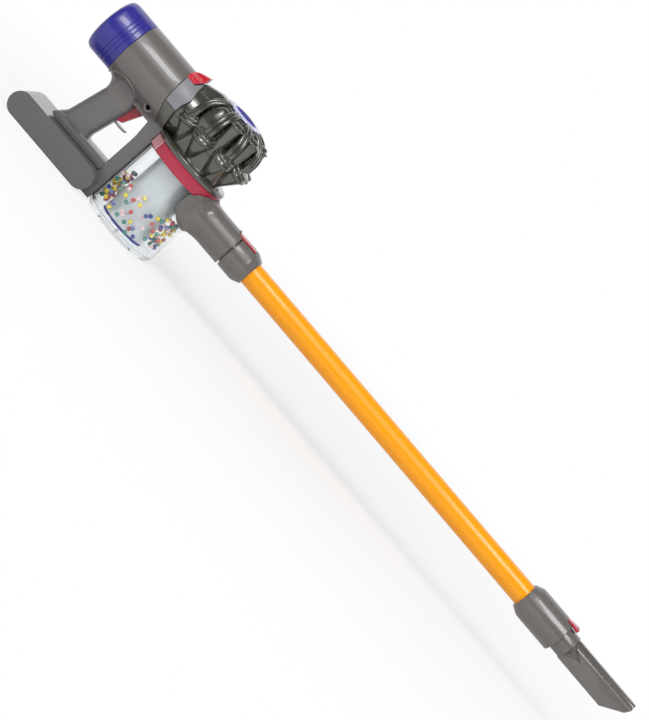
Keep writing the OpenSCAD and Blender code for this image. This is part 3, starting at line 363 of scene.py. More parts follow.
LEVER_OUTLINE = np.array([
    (-56.02, 131.03), (-56.02, 137.67), (-51.53, 140.66), (-42.42, 143.98), (-42.42, 139.0),
    (-47.32, 130.7), (-51.26, 130.37),
]) + (BIN_X, 0)
lever_pocket = plate(LEVER_OUTLINE + (0, -LEVER_ROOM), 32.8, 0.1, 2)
round_barrel = np.arange(0, 360, 3.75)
barrel_rings = barrel_shell(
    BARREL_R, BARREL_BORE_R, lambda z: BIN_X - BARREL_BACK + 0 * z, seam_at, round_barrel,
)
barrel = piece(
    "motor_barrel", [skin(barrel_rings, loop=True)], barrel_plastic, "handheld",
)
cut_away(barrel, [rod(*SCREW_HOLE, -30, -8, SCREW_HOLE_R), lever_pocket])
piece(
    "screw_boss", [rod(*SCREW_HOLE, -17.4, -9.1, 4.2, 0.3, SCREW_HOLE_R)],
    barrel_plastic, "handheld",
)


# Grip, block and front post
# The rest of the same two ABS halves: a hand grip that flares into a saddle under the
# barrel, a low block over the battery foot, and a post that stands behind the bin.

HANDLE_GREY = (104, 101, 103)
GRIP_BACK = -95.3
GRIP_FRONT = -66.5
GRIP_LEAN = 8.4
GRIP_FOOT_Z = 38
GRIP_HALF_WIDTH = 12.0
GRIP_ROUNDNESS = 0.62
POST_HALF_WIDTH = 11
POST_BIN_R = 37.3
POST_RING_R = 38.5
POST_CORNER = 1.8
POST_HEIGHTS = (0.3, 0.9, 20, 40, 60, 66, 72.6, 73.0, 75, 77.5, 80, 82, 84, 86)
POST_BACKS = ((0.3, 64.2, 80.5, 86), (-48, -48, -50.2, -52.8))
handle_plastic = moulded("handle plastic", HANDLE_GREY, 0.26, 0.3, 0.000006)


def soft_oval(a, b, power):
    """Superellipse x = a |cos t|^p, y = b |sin t|^p with the signs of cos t and sin t."""
    t = np.linspace(0, 2 * np.pi, 96, endpoint=False)
    c, s = np.cos(t), np.sin(t)
    return a * np.sign(c) * np.abs(c) ** power, b * np.sign(s) * np.abs(s) ** power


def slab(x0, x1, z0, z1, width, ease=0.05, steps=2):
    """Plate with a rectangular outline; as it comes, a sharp one that cuts a slot or a pocket."""
    return plate([(x0, z0), (x1, z0), (x1, z1), (x0, z1)], width, ease, steps)


def grip_rings():
    """Grip as soft ovals stacked up Z. It leans back on its way down and spreads along X by the square of
    the way into its foot."""
    z = np.concatenate([np.linspace(30.6, GRIP_FOOT_Z, 9), np.linspace(41, 84, 16)])[:, None]
    lean = GRIP_LEAN * np.clip((74.6 - z) / 43, 0, 1)
    foot = np.clip((GRIP_FOOT_Z - z) / 7.4, 0, 1) ** 2
    back = GRIP_BACK - lean - 3.4 * foot
    front = GRIP_FRONT - lean + 3.0 * foot
    x, y = soft_oval(1, 1, GRIP_ROUNDNESS)
    x = BIN_X + (back + front) / 2 + (front - back) / 2 * x
    return np.stack([x, (GRIP_HALF_WIDTH - 0.7 * foot) * y, z + 0 * x], -1)


def saddle_rings():
    """Flare from the grip to the barrel: each line is a quadratic curve S (1-s)^2 + 2 C s (1-s) + T s^2
    from the grip's side S, straight up, and out to T on the barrel, where a small rounded rim follows."""
    x, y = soft_oval(14.4, GRIP_HALF_WIDTH, GRIP_ROUNDNESS)
    start = np.stack([BIN_X - 81.2 + x, y, 70.5 + 0 * x], -1)
    x, y = soft_oval(17.9, 20.6, 0.86)
    rise = np.sqrt(BARREL_R ** 2 - y ** 2)
    end = np.stack([BIN_X - 85.9 + x, y, BARREL_Z - rise], -1)
    bend = start.copy()
    bend[:, 2] = BARREL_Z - np.sqrt(28.0 ** 2 - start[:, 1] ** 2) - 0.8
    s = np.linspace(0, 1, 16)[:, None, None]
    flare = start * (1 - s) ** 2 + 2 * bend * s * (1 - s) + end * s ** 2
    axis = end * (1, 0, 0) + (0, 0, BARREL_Z)
    out = (end - axis) / BARREL_R
    away = end - end.mean(0)
    away[:, 2] = 0
    away /= np.linalg.norm(away, axis=1)[:, None]
    rim = [end + lift * out + 1.5 * along * away for lift, along in
           ((0.9, 0.1), (1.1, 0.35), (1.05, 0.65), (0.7, 0.9), (0.1, 1.0), (-1.2, 1.0))]
    return np.concatenate([flare, np.stack(rim)])


grip = piece("hand_grip", [skin(grip_rings())], handle_plastic, "handheld", crease=50)
saddle = piece(
    "grip_saddle", [skin(saddle_rings())], barrel_plastic, "handheld", crease=60,
)
beam = piece(
    "under_beam", [slab(-298, -268, 80.9, 85.6, 21, 0.8, 5)], barrel_plastic, "handheld",
)
trigger_slot = slab(-308.0, -280.4, 60.1, 82.3, 9.6)
for thing in (grip, saddle, beam):
    cut_away(thing, [trigger_slot], 55)

block_side = np.array([
    (-105.4, 31.6), (-110.4, 25.6), (-105.0, 23.0), (-46.0, 23.0), (-46.0, 31.6),
]) + (BIN_X, 0)
piece(
    "foot_block", [plate(eased(block_side, [2.2, 2.4, 1.0, 0.3, 1.0]), 22, 1.0)],
    handle_plastic, "handheld",
)


def post_rings():
    """Post as rings up Z. Its back is flat at x = b(z) with rounded corners, its front lies on the bin at
    x = -sqrt(R(z)^2 - y^2), stepping back for the latch ring, and its top follows the barrel's curve."""
    z = np.array(POST_HEIGHTS)[:, None]
    radius = np.where(z < 72.8, POST_BIN_R, POST_RING_R)
    back = np.interp(z, *POST_BACKS)
    turn = np.linspace(0, np.pi / 2, 6)
    y = np.linspace(-POST_HALF_WIDTH, POST_HALF_WIDTH, 23)[None]
    front = np.stack([-np.sqrt(radius ** 2 - y ** 2), y + 0 * z], -1)
    side = POST_HALF_WIDTH - POST_CORNER + POST_CORNER * np.cos(turn)
    corner = np.stack([back + POST_CORNER * (1 - np.sin(turn)), side + 0 * z], -1)
    ring = np.concatenate([front, corner, corner[:, ::-1] * (1, -1)], 1)
    y = ring[..., 1]
    top = BARREL_Z - np.sqrt(26.4 ** 2 - y ** 2)
    height = np.where(z > 80, 80 + (z - 80) / 6 * (top - 80), z + 0 * y)
    return np.stack([BIN_X + ring[..., 0], y, height], -1)


piece(
    "front_post", [skin(post_rings())], handle_plastic, "handheld",
    ["right_housing", "left_housing"], 45,
)


# Duct collar
# Two moulded half rings of one light grey plastic, split along a level line, that lead the air
# from the cyclones into the barrel and clip over its lip; the lower one is painted dark as shade.

DUCT_GREY = (132, 133, 138)
# Painted shade: the lower half ring's darker olive grey stands in for shade on the same grey plastic.
DUCT_PAINTED_SHADE = (92, 90, 82)
DUCT_R = 26.6
DUCT_BORE_R = 23.6
DUCT_HEIGHTS = (-1.3, -0.7, -0.3, 0.1, 0.42, 0.7, 1.05, 1.3)
DUCT_REACH = (-37.9, -37.9, -39.8, -39.8, -37.3, -40.4, -42.3, -42.3)
DUCT_SPLIT_Z = 106.68
DUCT_SPLIT_GAP = 0.6
BIN_AXIS = (BIN_X, 0, 0)
duct_plastic = moulded("duct plastic", DUCT_GREY, 0.34, 0.0, 0.000006)
painted_shade_duct = moulded("lower duct painted shade", DUCT_PAINTED_SHADE, 0.28, 0.3, 0.000006)


def duct_front(z):
    """Where the duct's front edge lies along X, at a height: straight steps between its stations."""
    return BIN_X + np.interp((z - BARREL_Z) / BARREL_R, DUCT_HEIGHTS, DUCT_REACH)


def duct_half(low, high):
    """Half ring of the duct between two angles round its axis, in degrees."""
    angles = np.linspace(low, high, 61)
    return skin(barrel_shell(DUCT_R, DUCT_BORE_R, lambda z: seam_at(z) + 0.3, duct_front, angles, 0.6))


def level_angle(z, radius):
    """Angle round the barrel's axis, in degrees, at which a circle of this radius meets a height."""
    return math.degrees(math.asin((z - BARREL_Z) / radius))


split = level_angle(DUCT_SPLIT_Z, 25.1)
rear_duct_room = slab(-265.8, -223, 129.86, 150, 17.6)
flange_room = turned([(0, 83.1), (38.5, 83.1), (38.5, 95), (0, 95)], at=BIN_AXIS, steps=144)
duct_upper = piece(
    "duct_upper_shell", [duct_half(split + DUCT_SPLIT_GAP, 180 - split - DUCT_SPLIT_GAP)],
    duct_plastic, "handheld", ["duct_upper"],
)
cut_away(duct_upper, [rear_duct_room, lever_pocket])
duct_lower = piece(
    "duct_lower_shell", [duct_half(180 - split + DUCT_SPLIT_GAP, 360 + split - DUCT_SPLIT_GAP)],
    painted_shade_duct, "handheld", ["duct_lower"],
)
cut_away(duct_lower, [flange_room])


# Release lever
# The red ABS lever that straddles the barrel's front edge and frees the bin. A raised
# tongue in the middle, with thin flanks that hug the barrel; sprung from below.

LEVER_RED = (200, 30, 52)
lever_plastic = moulded("lever plastic", LEVER_RED, 0.2, 0.4, 0.000006)


def softened(name, node, finish, body, width=0.5, crease=30):
    """Copy of a plain node, its loose triangles merged and flat faces joined, with each hard edge
    eased."""
    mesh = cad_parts[node].data.copy()
    work = bmesh.new()
    work.from_mesh(mesh)
    bmesh.ops.remove_doubles(work, verts=work.verts, dist=1e-6)
    bmesh.ops.dissolve_limit(work, angle_limit=math.radians(1), verts=work.verts, edges=work.edges)
    work.to_mesh(mesh)
    work.free()
    mesh.name = name
    thing = placed(name, mesh, finish, body, [node], crease)
    bevel = thing.modifiers.new("soft rims", "BEVEL")
    bevel.width = width / 1000
    bevel.segments = 3
    bevel.limit_method = "ANGLE"
    bevel.angle_limit = math.radians(crease)
    return thing


softened("bin_release_lever", "release_lever", lever_plastic, "release_lever", 0.9, 25)


# Cyclone pack, lower moulding
# Glossy olive-grey ABS: a flange over the latch ring, a short core, eight cones that
# lean out from it, and half of the round inlet that plugs into the duct.

OLIVE = (56, 55, 46)
FLANGE_Z = 83.4
FLANGE_R = 38.2
CORE_BORE_R = 21.0
PARTING_Z = 104.2
CONE_LEAN = math.radians(18)
CONE_TURNS = (20, 60, 100, 140, -20, -60, -100, -140)
CONE_FOOT = (26.64, 89.9)
CONE_R = 9.8
CONE_LENGTH = 19.5
INLET_R = 23.4
INLET_BORE_R = 21.4
INLET_BACK = BIN_X - 42.2
INLET_FRONT = BIN_X - 25
cyclone_plastic = moulded("cyclone plastic", OLIVE, 0.26, 1.0, 0.000001)
cyclone_plastic.set({"Coat IOR": 1.8, "Coat Roughness": 0.15})


def stood_on_cone(shell, turn):
    """Leans a shape drawn along Z outwards by the cone's lean, then turns it round the bin's axis to its
    place."""
    points, faces = shell
    x, y, z = points.T
    c, s = math.cos(CONE_LEAN), math.sin(CONE_LEAN)
    out, up = CONE_FOOT[0] + c * x + s * z, CONE_FOOT[1] - s * x + c * z
    a = math.radians(turn)
    along = BIN_X + out * math.cos(a) - y * math.sin(a)
    return np.stack([along, out * math.sin(a) + y * math.cos(a), up], -1), faces


def cone_shell(turn):
    """One cone turned on its own axis: a round tip, then a straight flank to the cone's full radius."""
    side = [(0, -3.6), (2.6, -3.2), (3.6, 0), (CONE_R, CONE_LENGTH), (0, CONE_LENGTH)]
    profile = eased(side, [0, 1.4, 1.6, 0.2, 0], 5, closed=False)
    return stood_on_cone(turned(profile, steps=48), turn)


def inlet_half(low, high):
    """Half of the inlet stub, a ring about the barrel's axis between two angles in degrees."""
    angles = np.linspace(low, high, 49)
    return skin(barrel_shell(
        INLET_R, INLET_BORE_R, lambda z: INLET_BACK + 0 * z, lambda z: INLET_FRONT + 0 * z, angles, 0.4,
    ))


flange = eased(
    [(CORE_BORE_R, FLANGE_Z), (FLANGE_R, FLANGE_Z), (FLANGE_R, FLANGE_Z + 3.7), (36.4, FLANGE_Z + 5.2),
     (29.4, FLANGE_Z + 5.2), (31.0, PARTING_Z), (CORE_BORE_R, PARTING_Z)],
    [0.1, 0.7, 1.0, 1.2, 1.8, 0.3, 0.1], 6,
)
parting = level_angle(PARTING_Z, 22.4)
piece(
    "cyclone_cones_shell",
    [turned(flange, at=BIN_AXIS, loop=True, steps=144)]
    + [cone_shell(turn) for turn in CONE_TURNS]
    + [inlet_half(180 - parting + 0.3, 360 + parting - 0.3)],
    cyclone_plastic, "handheld", ["cyclone_cones"],
)


# Cyclone pack, upper moulding
# The same glossy ABS: a dome with a rolled cap over each cone, a pair of slim ducts that
# climbs from each cap and bends in to the top, and small upright cyclones between them.

POD_TURNS = (0, 40, 80, 120, -40, -80, -120)
REAR_POD = 120
# Each rolled lip of a cap: radius and height of its middle, its own radius, first and last angle.
CAP_ROLLS = ((8.75, 21.7, 2.4, -128, 56), (8.0, 25.5, 1.95, -40, 92))
CAP_CROWN = [(6.2, 27.6), (4.6, 28.3), (2.4, 28.7), (0, 28.8)]
SLIM_DUCT_R = 2.3
SLIM_DUCT_OUT = 36.4
SLIM_DUCT_BEND_Z = 120.0


def cap_over_cone(turn):
    """Cap of a cone: two thick rolled lips that step in under a low crown, turned on the cone's axis."""
    rolls = []
    for r, z, roll, first, last in CAP_ROLLS:
        a = np.radians(np.linspace(first, last, 18))
        rolls.append(np.stack([r + roll * np.cos(a), z + roll * np.sin(a)], -1))
    profile = np.concatenate([[(0, 19.7)], *rolls, CAP_CROWN])
    return stood_on_cone(turned(profile, steps=56), turn)


def carried(path, radius):
    """Tube along a path: each ring lies in the plane across the path's own direction, as a point of the
    path plus r (n cos a + b sin a), with n across the path's plane and b = t x n. Both ends are flat."""
    t = np.gradient(path, axis=0)
    t /= np.linalg.norm(t, axis=1)[:, None]
    normal = np.cross(path[-1] - path[0], path[len(path) // 2] - path[0])
    n = np.broadcast_to(normal / np.linalg.norm(normal), t.shape)
    b = np.cross(t, n)
    a = np.linspace(0, 2 * np.pi, 20, endpoint=False)[None, :, None]
    return skin(path[:, None] + radius * (n[:, None] * np.cos(a) + b[:, None] * np.sin(a)))


def duct_path(turn, side):
    """Line of a slim duct: straight up from the cap, inwards along a quarter of a full-cheeked ellipse,
    then level to the disc."""
    a = np.linspace(0, np.pi / 2, 26)
    up = np.linspace(107.5, SLIM_DUCT_BEND_Z, 8)[:-1]
    out = np.concatenate([0 * up + SLIM_DUCT_OUT, 14.0 + 22.4 * np.cos(a) ** 0.86])
    z = np.concatenate([up, SLIM_DUCT_BEND_Z + 22.6 * np.sin(a) ** 0.92])
    out, z = np.append(out, 10.0), np.append(z, 142.7)
    spread = side * (1.8 + 0.3 * np.sin(np.linspace(0, np.pi, len(out))))
    c, s = math.cos(math.radians(turn)), math.sin(math.radians(turn))
    return np.stack([BIN_X + out * c - spread * s, out * s + spread * c, z], -1)


def small_cyclone(turn):
    """Small upright cyclone turned on its own axis: a widening barrel with a rolled lip and a low cone on
    top, or a plain round-topped one for the two at the rear."""
    lip = np.radians(np.linspace(-80, 80, 9))
    rolled = np.stack([6.0 + 1.1 * np.cos(lip), 136.6 + 1.15 * np.sin(lip)], -1)
    profile = np.concatenate([
        [(0, 108), (4.8, 109), (5.2, 118), (5.7, 126), (6.0, 132), (6.1, 135.2)], rolled,
        [(4.9, 138.0), (4.5, 138.2), (4.2, 139.8), (3.2, 140.6), (0, 140.8)],
    ])
    out = 29.6
    if abs(turn) == REAR_POD:
        a = np.linspace(0, np.pi / 2, 12)
        profile = np.concatenate([[(0, 108), (9.0, 109), (10.2, 113)],
                                  np.stack([10.8 * np.cos(a), 119 + 21.4 * np.sin(a)], -1)])
        out = 24.8
    c, s = math.cos(math.radians(turn)), math.sin(math.radians(turn))
    return turned(profile, at=(BIN_X + out * c, out * s, 0), steps=48)


quarter = np.linspace(0, np.pi / 2, 18)
dome = np.concatenate([
    [(26.8, 104.5), (30.8, 104.5), (30.8, 108.5), (27.6, 111.5), (27.2, 118)],
    np.stack([18.7 + 8.5 * np.cos(quarter), 123 + 19.4 * np.sin(quarter)], -1),
    [(18.7, 140.4), (14.0, 139.4), (24.4, 122), (24.4, 112)],
])
rear_side = [(-265.5, 130.2), (-265.5, 138.6), (-248.2, 143.9), (-228, 141.0), (-228, 130.2)]
rear_duct = plate(eased(rear_side, [0.8, 1.2, 3, 0.1, 0.1]), 17, 1.0)
piece(
    "cyclone_dome_shell",
    [turned(dome, at=BIN_AXIS, loop=True, steps=144), rear_duct]
    + [inlet_half(parting + 0.6, 180 - parting - 0.6)]
    + [cap_over_cone(turn) for turn in CONE_TURNS]
    + [small_cyclone(turn) for turn in POD_TURNS]
    + [carried(duct_path(turn, side), SLIM_DUCT_R) for turn in CONE_TURNS for side in (-1, 1)],
    cyclone_plastic, "handheld", ["cyclone_dome"],
)


# Disc on top of the pack
# A lilac ABS ring that closes the crown of the cyclones, and the dark blue ABS button
# pressed into its middle.

LILAC = (196, 198, 232)
NAVY = (36, 38, 140)
lilac_plastic = moulded("lilac plastic", LILAC, 0.3, 0.3)
navy_plastic = moulded("navy plastic", NAVY, 0.5, 0.0)
navy_plastic.set({"Specular IOR Level": 0.12})


def about_bin(name, profile, finish, node, loop=True, steps=96):
    """Piece of the handheld unit turned on the bin's axis."""
    shell = turned(profile, at=BIN_AXIS, loop=loop, steps=steps)
    piece(name, [shell], finish, "handheld", [node])


rim = eased(
    [(12.0, 143.3), (18.5, 143.3), (18.5, 144.5), (17.4, 145.3), (12.0, 145.4)],
    [0.1, 0.4, 0.7, 0.6, 0.3], 5,
)
about_bin("disc_ring", rim, lilac_plastic, "disc_rim")
button = eased(
    [(0, 143.6), (11.9, 143.6), (11.9, 145.5), (8.5, 146.3), (0, 146.49)],
    [0, 0.2, 0.4, 3, 0], 5, closed=False,
)
about_bin("disc_button", button, navy_plastic, "disc_centre", loop=False)


# Latch ring and its ribbed grips
# The crimson ABS ring that holds the bin up, with a ribbed softer strip let into it on
# each side of the post so that a thumb can turn it.

CRIMSON = (172, 34, 62)
# Pale pink painted on the ribs' crests as a highlight.
CREST_HIGHLIGHT_PINK = (244, 222, 224)
RING_BORE_R = 34.6
RING_R = 37.6
RING_RECESS_R = 36.2
RING_HEIGHTS = (72.5, 83.2)
GRIP_ANGLES = (134, 162)
RIB_COUNT = 6
RIB_ANGLE = 1.3
RIB_EASE = 0.2
crimson_plastic = moulded("crimson plastic", CRIMSON, 0.24, 0.35)
grip_strip = moulded("grip strip", CRIMSON, 0.4, 0.1)
strip_place = {"Vector": grip_strip.place}
strip_x = grip_strip.node("ShaderNodeSeparateXYZ", {}, strip_place, 0) - BIN_X / 1000
strip_y = grip_strip.node("ShaderNodeSeparateXYZ", {}, strip_place, 1)
# Painted highlight on the ribs' crests: none at the ring's radius, 37.6 mm, and full from 37.8 mm
# outwards.
crest_highlight = (strip_x * strip_x + strip_y * strip_y - 0.0376 ** 2) * 80000.0
crest_highlight = grip_strip.node("ShaderNodeClamp", {}, {"Value": crest_highlight})
grip_strip.set({"Base Color": grip_strip.tint(crest_highlight, paint(CREST_HIGHLIGHT_PINK))})


def ring_part(r0, r1, z0, z1, low, high, ease=0.5, count=40):
    """Part of a ring: a soft-cornered section (r, z) swept round the bin's axis between two angles."""
    r, z = eased([(r0, z0), (r1, z0), (r1, z1), (r0, z1)], ease, 5).T[:, None]
    a = np.radians(np.linspace(low, high, count))[:, None]
    return skin(np.stack([BIN_X + r * np.cos(a), r * np.sin(a), z + 0 * a], -1))


low, high = GRIP_ANGLES
ring_spans = (
    (RING_R, 0.6 - low, low - 0.6, 120), (RING_RECESS_R, low - 1.2, high + 1.2, 40),
    (RING_RECESS_R, -high - 1.2, 1.2 - low, 40), (RING_R, high + 0.6, 359.4 - high, 40),
)
piece(
    "latch_ring_shell",
    [ring_part(RING_BORE_R, r, *RING_HEIGHTS, first, last, count=count)
     for r, first, last, count in ring_spans],
    crimson_plastic, "handheld", ["latch_ring"],
)
ribs = []
for side in (1, -1):
    ribs.append(ring_part(36.3, 36.9, 72.6, 83.1, *sorted((side * low, side * high)), RIB_EASE))
    for i in range(RIB_COUNT):
        start = low + (i + 0.2) * (high - low) / RIB_COUNT
        ends = sorted((side * start, side * (start + RIB_ANGLE)))
        ribs.append(ring_part(36.6, 37.9, 73.0, 82.8, *ends, RIB_EASE, 6))
piece("ring_grips", ribs, grip_strip, "handheld", ["latch_grips"])


# Dust bin
# A clear polystyrene wall and base, a silver-grey cylinder inside, a notched navy disc
# under it that throws the beads about, and the loose beads in the space between.

CLEAR = (250, 252, 253)
SILVER = (212, 217, 220)
BIN_R = 37.0
BIN_RIM_R = 37.5
BIN_BORE_R = 34.8
BIN_TOP = 72.3
CYLINDER_R = 22.3
CYLINDER_BORE_R = 20.9
DISC_R = 22.7
DISC_NOTCHES = 6
NOTCH_DEPTH = 2.6
clear_plastic = Finish("clear plastic", CLEAR, {
    "Roughness": 0.02, "IOR": 1.13, "Transmission Weight": 1.0,
    "Coat Weight": 0.6, "Coat Roughness": 0.04,
})
clear_plastic.set({"Normal": clear_plastic.relief(clear_plastic.noise(60.0, 1.0), 0.00003)})
wall = eased(
    [(BIN_BORE_R, 5.15), (BIN_R, 5.15), (BIN_R, 70.8), (BIN_RIM_R, 71.2), (BIN_RIM_R, BIN_TOP),
     (BIN_BORE_R, BIN_TOP)], 0.3, 4,
)
about_bin("bin_wall", wall, clear_plastic, "clear_bin", steps=144)
base = eased(
    [(0, 0), (34.0, 0), (36.8, 3.1), (36.8, 5.0), (34.6, 5.0), (34.6, 7.4), (32.6, 7.4), (32.6, 2.6),
     (2.2, 2.6), (2.2, 1.3), (0, 1.3)],
    [0, 0.8, 0.8, 0.3, 0.1, 0.3, 0.3, 0.6, 0.1, 0.1, 0], 5, closed=False,
)
about_bin("bin_floor", base, clear_plastic, "bin_base", loop=False, steps=144)
silver_plastic = moulded("silver plastic", SILVER, 0.3, 0.2)
silver_plastic.set({"Metallic": 0.3})
cylinder = eased(
    [(2.0, 7.6), (CYLINDER_R, 7.6), (CYLINDER_R, 83.2), (CYLINDER_BORE_R, 83.2), (CYLINDER_BORE_R, 9.2),
     (2.0, 9.2)], 0.5, 4,
)
about_bin("silver_cylinder", cylinder, silver_plastic, "inner_cylinder")
turns = np.linspace(0, 2 * np.pi, 144, endpoint=False)
notched = DISC_R - NOTCH_DEPTH * np.clip(2.4 * np.cos(DISC_NOTCHES * turns) - 1.4, 0, 1)
disc_outline = np.stack([notched * np.cos(turns), notched * np.sin(turns)], -1)
disc_points, disc_faces = plate(disc_outline, 1.6, 0.3, 3)
disc_points = disc_points[:, [0, 2, 1]] + (BIN_X, 0, 6.5)
piece(
    "notched_disc", [(disc_points, disc_faces)],
    navy_plastic, "stirrer", ["stirrer_disc"],
)

BEAD_R = 2.0
BEAD_REACH = (24.5, 32.6)
BEAD_COLOURS = (
    ("red", (206, 44, 44)), ("yellow", (240, 214, 36)), ("blue", (34, 70, 158)),
    ("green", (14, 132, 116)), ("white", (244, 214, 216)),
)
# Each heap: its middle and spread round the bin's axis, its lowest and highest height, its beads.
BEAD_HEAPS = ((176, 28, 9, 41, 46), (-11, 26, 14, 42, 40), (-95, 62, 9, 40, 30), (95, 62, 9, 40, 22))


def bead_places():
    """Centres of the loose beads: in each heap an angle, a height and a radius drawn at random round its
    middle, clear of wall and cylinder, and kept when the bead clears every bead before it."""
    draw = np.random.default_rng(11)
    near, far = BEAD_REACH
    kept = np.empty((0, 3))
    for middle, spread, low_z, high_z, wanted in BEAD_HEAPS:
        most = len(kept) + wanted
        for angle, lift, depth in draw.random((900, 3)):
            swing = 2 * angle - 1
            turn = math.radians(middle + spread * swing * (0.45 + 0.55 * abs(swing)))
            r = near + (far - near) * math.sqrt(depth)
            at = np.array([r * math.cos(turn), r * math.sin(turn), low_z + (high_z - low_z) * lift])
            if len(kept) < most and np.all(np.linalg.norm(kept - at, axis=1) > 2.05 * BEAD_R):
                kept = np.concatenate([kept, at[None]])
    return kept + (BIN_X, 0, 0)


def bead_finish(name, colour):
    """Bead plastic: a bright paint that varies a little from bead to bead, with a hard shine."""
    finish = Finish(name, colour, {"Roughness": 0.22, "Coat Weight": 0.4})
    pale = tuple(c + 0.35 * (1 - c) for c in finish.colour[:3]) + (1.0,)
    finish.set({"Base Color": finish.tint(1.6 * (finish.noise(160.0, 0.0) - 0.45), pale)})
    return finish


places = bead_places()
arc = np.linspace(-np.pi / 2, np.pi / 2, 9)
ball = np.stack([BEAD_R * np.cos(arc), BEAD_R * np.sin(arc)], -1)
order = np.arange(len(places))
kinds = (order * 7 + order // 3) % 5
# Low beside the post, two beads in three are yellow.
by_post = (order < BEAD_HEAPS[0][-1]) & (abs(places[:, 2] - 24) < 8) & (order % 3 > 0)
kinds[by_post] = 1
for kind, (colour_name, colour) in enumerate(BEAD_COLOURS):
    shells = [turned(ball, at=tuple(place), steps=14) for place in places[kinds == kind]]
    piece(
        colour_name + "_beads", shells, bead_finish(colour_name + " bead", colour),
        "handheld", ["beads_" + colour_name], 60,
    )


# Neck
# The ABS saddle that grips the bin's wall and narrows to a round socket for the wand.
# Its edge on the bin is a raised lip; a small nub stands on top by the button's notch.

WAND_X = -122.25
WAND_Z = 62.6
NECK_END = WAND_X - 26.1
NECK_R = 16.9
SADDLE_HALF_WIDTH = 31.2
SADDLE_HALF_HEIGHT = 18.4
SOCKET_R = 13.42
SOCKET_FLOOR = NECK_END - 18.3
AIRWAY_R = 9.2
ON_BIN_R = 37.3
POCKET_WIDTH = 15.6
# The lip round the saddle and the groove beside it: share of the way to the socket, height.
NECK_LIP = np.array([
    (0, 0.3), (0.005, 0.9), (0.01, 1.15), (0.026, 1.2), (0.031, 0.9), (0.034, 0.3), (0.036, -1.6),
    (0.052, -1.6), (0.054, -0.3), (0.06, 0),
])
round_neck = np.linspace(0, 2 * np.pi, 144, endpoint=False)


def neck_rings():
    """Rings along X from saddle to socket: y = b |cos t|^p and z = c |sin t|^p with their signs, where
    b, c shrink and p goes to 1 by a smooth step. The first ring lies on the bin, x = sqrt(R^2 - y^2)."""
    s = np.concatenate([NECK_LIP[:, 0], np.linspace(0.075, 1, 31)])[:, None]
    t = round_neck[None]
    lip = np.interp(s, *NECK_LIP.T)
    ease = 1 - (1 - np.clip(s / 0.4, 0, 1)) ** 1.8
    power = np.where(np.sin(t) > 0, 0.5, 0.8)
    power = power + (1 - power) * ease
    b = SADDLE_HALF_WIDTH + (NECK_R - SADDLE_HALF_WIDTH) * ease + lip
    c = SADDLE_HALF_HEIGHT + (NECK_R - SADDLE_HALF_HEIGHT) * ease + lip
    y = b * np.sign(np.cos(t)) * np.abs(np.cos(t)) ** power
    z = WAND_Z - 0.7 * (1 - ease) + c * np.sign(np.sin(t)) * np.abs(np.sin(t)) ** power
    radius = ON_BIN_R + 1.3 * np.clip((z - 71.9) / 0.7, 0, 1)
    on_bin = BIN_X + np.sqrt(radius ** 2 - np.minimum(np.abs(y), 36.9) ** 2)
    first = on_bin[:1]
    x = first + s * (NECK_END - first)
    return np.stack([np.maximum(x, on_bin), y, z], -1)


def hole_ring(x, radius):
    """Ring of the neck's hollow: y = r cos t, z = r sin t round the wand's axis."""
    y, z = radius * np.cos(round_neck), WAND_Z + radius * np.sin(round_neck)
    return np.stack([np.broadcast_to(x, y.shape), y, z], -1)[None]


airway_start = BIN_X + np.sqrt(ON_BIN_R ** 2 - (AIRWAY_R * np.cos(round_neck)) ** 2)
neck_shell = skin(np.concatenate([
    neck_rings(), hole_ring(NECK_END, 16.4), hole_ring(NECK_END, SOCKET_R),
    hole_ring(SOCKET_FLOOR, SOCKET_R), hole_ring(SOCKET_FLOOR, AIRWAY_R),
    hole_ring(airway_start, AIRWAY_R),
]), loop=True)
nub = rod(NECK_END - 5.8, WAND_Z + NECK_R, -3.7, 3.7, 0.85, 0.3)
neck = piece("wand_neck", [neck_shell, nub], barrel_plastic, "handheld", ["neck"], 42)
cut_away(neck, [slab(-153.0, -146.0, 74.9, 84.0, POCKET_WIDTH)], 42)


# Wand and its two collars
# A glossy orange tube pressed into two turned grey ABS collars. The upper collar plugs
# into the neck; the lower one takes the tool. Each carries a red release button.

ORANGE = (252, 163, 0)
WAND_LENGTH = 355.0
WAND_SEAT = 18
WAND_R = 11.0
COLLAR_R = 16.5
COLLAR_MOUTH_R = 12.9
COLLAR_SEAT_R = 11.05
PLUG_R = 13.36
TOOL_SOCKET_R = 12.25
POCKET_HEIGHTS = (74.95, 84)
wand_plastic = moulded("wand plastic", ORANGE, 0.25, 0.2, 0.0)
wand_plastic.set({"Specular IOR Level": 0.35})
tube_length = WAND_LENGTH + 2 * WAND_SEAT
tube = eased([(AIRWAY_R, 0), (WAND_R, 0), (WAND_R, tube_length), (AIRWAY_R, tube_length)], 0.3, 4)
piece(
    "wand_tube", [turned(tube, "x", (WAND_X - WAND_SEAT, 0, WAND_Z), loop=True)],
    wand_plastic, "wand", ["wand"],
)


def collar(name, profile, node, pocket):
    """Collar turned on the wand's axis. The button's pocket is cut in its top from one x to another."""
    thing = piece(name, [turned(profile, "x", (0, 0, WAND_Z), loop=True, steps=120)],
                  barrel_plastic, "wand", [node], 42)
    cut_away(thing, [slab(*pocket, *POCKET_HEIGHTS, POCKET_WIDTH)], 42)


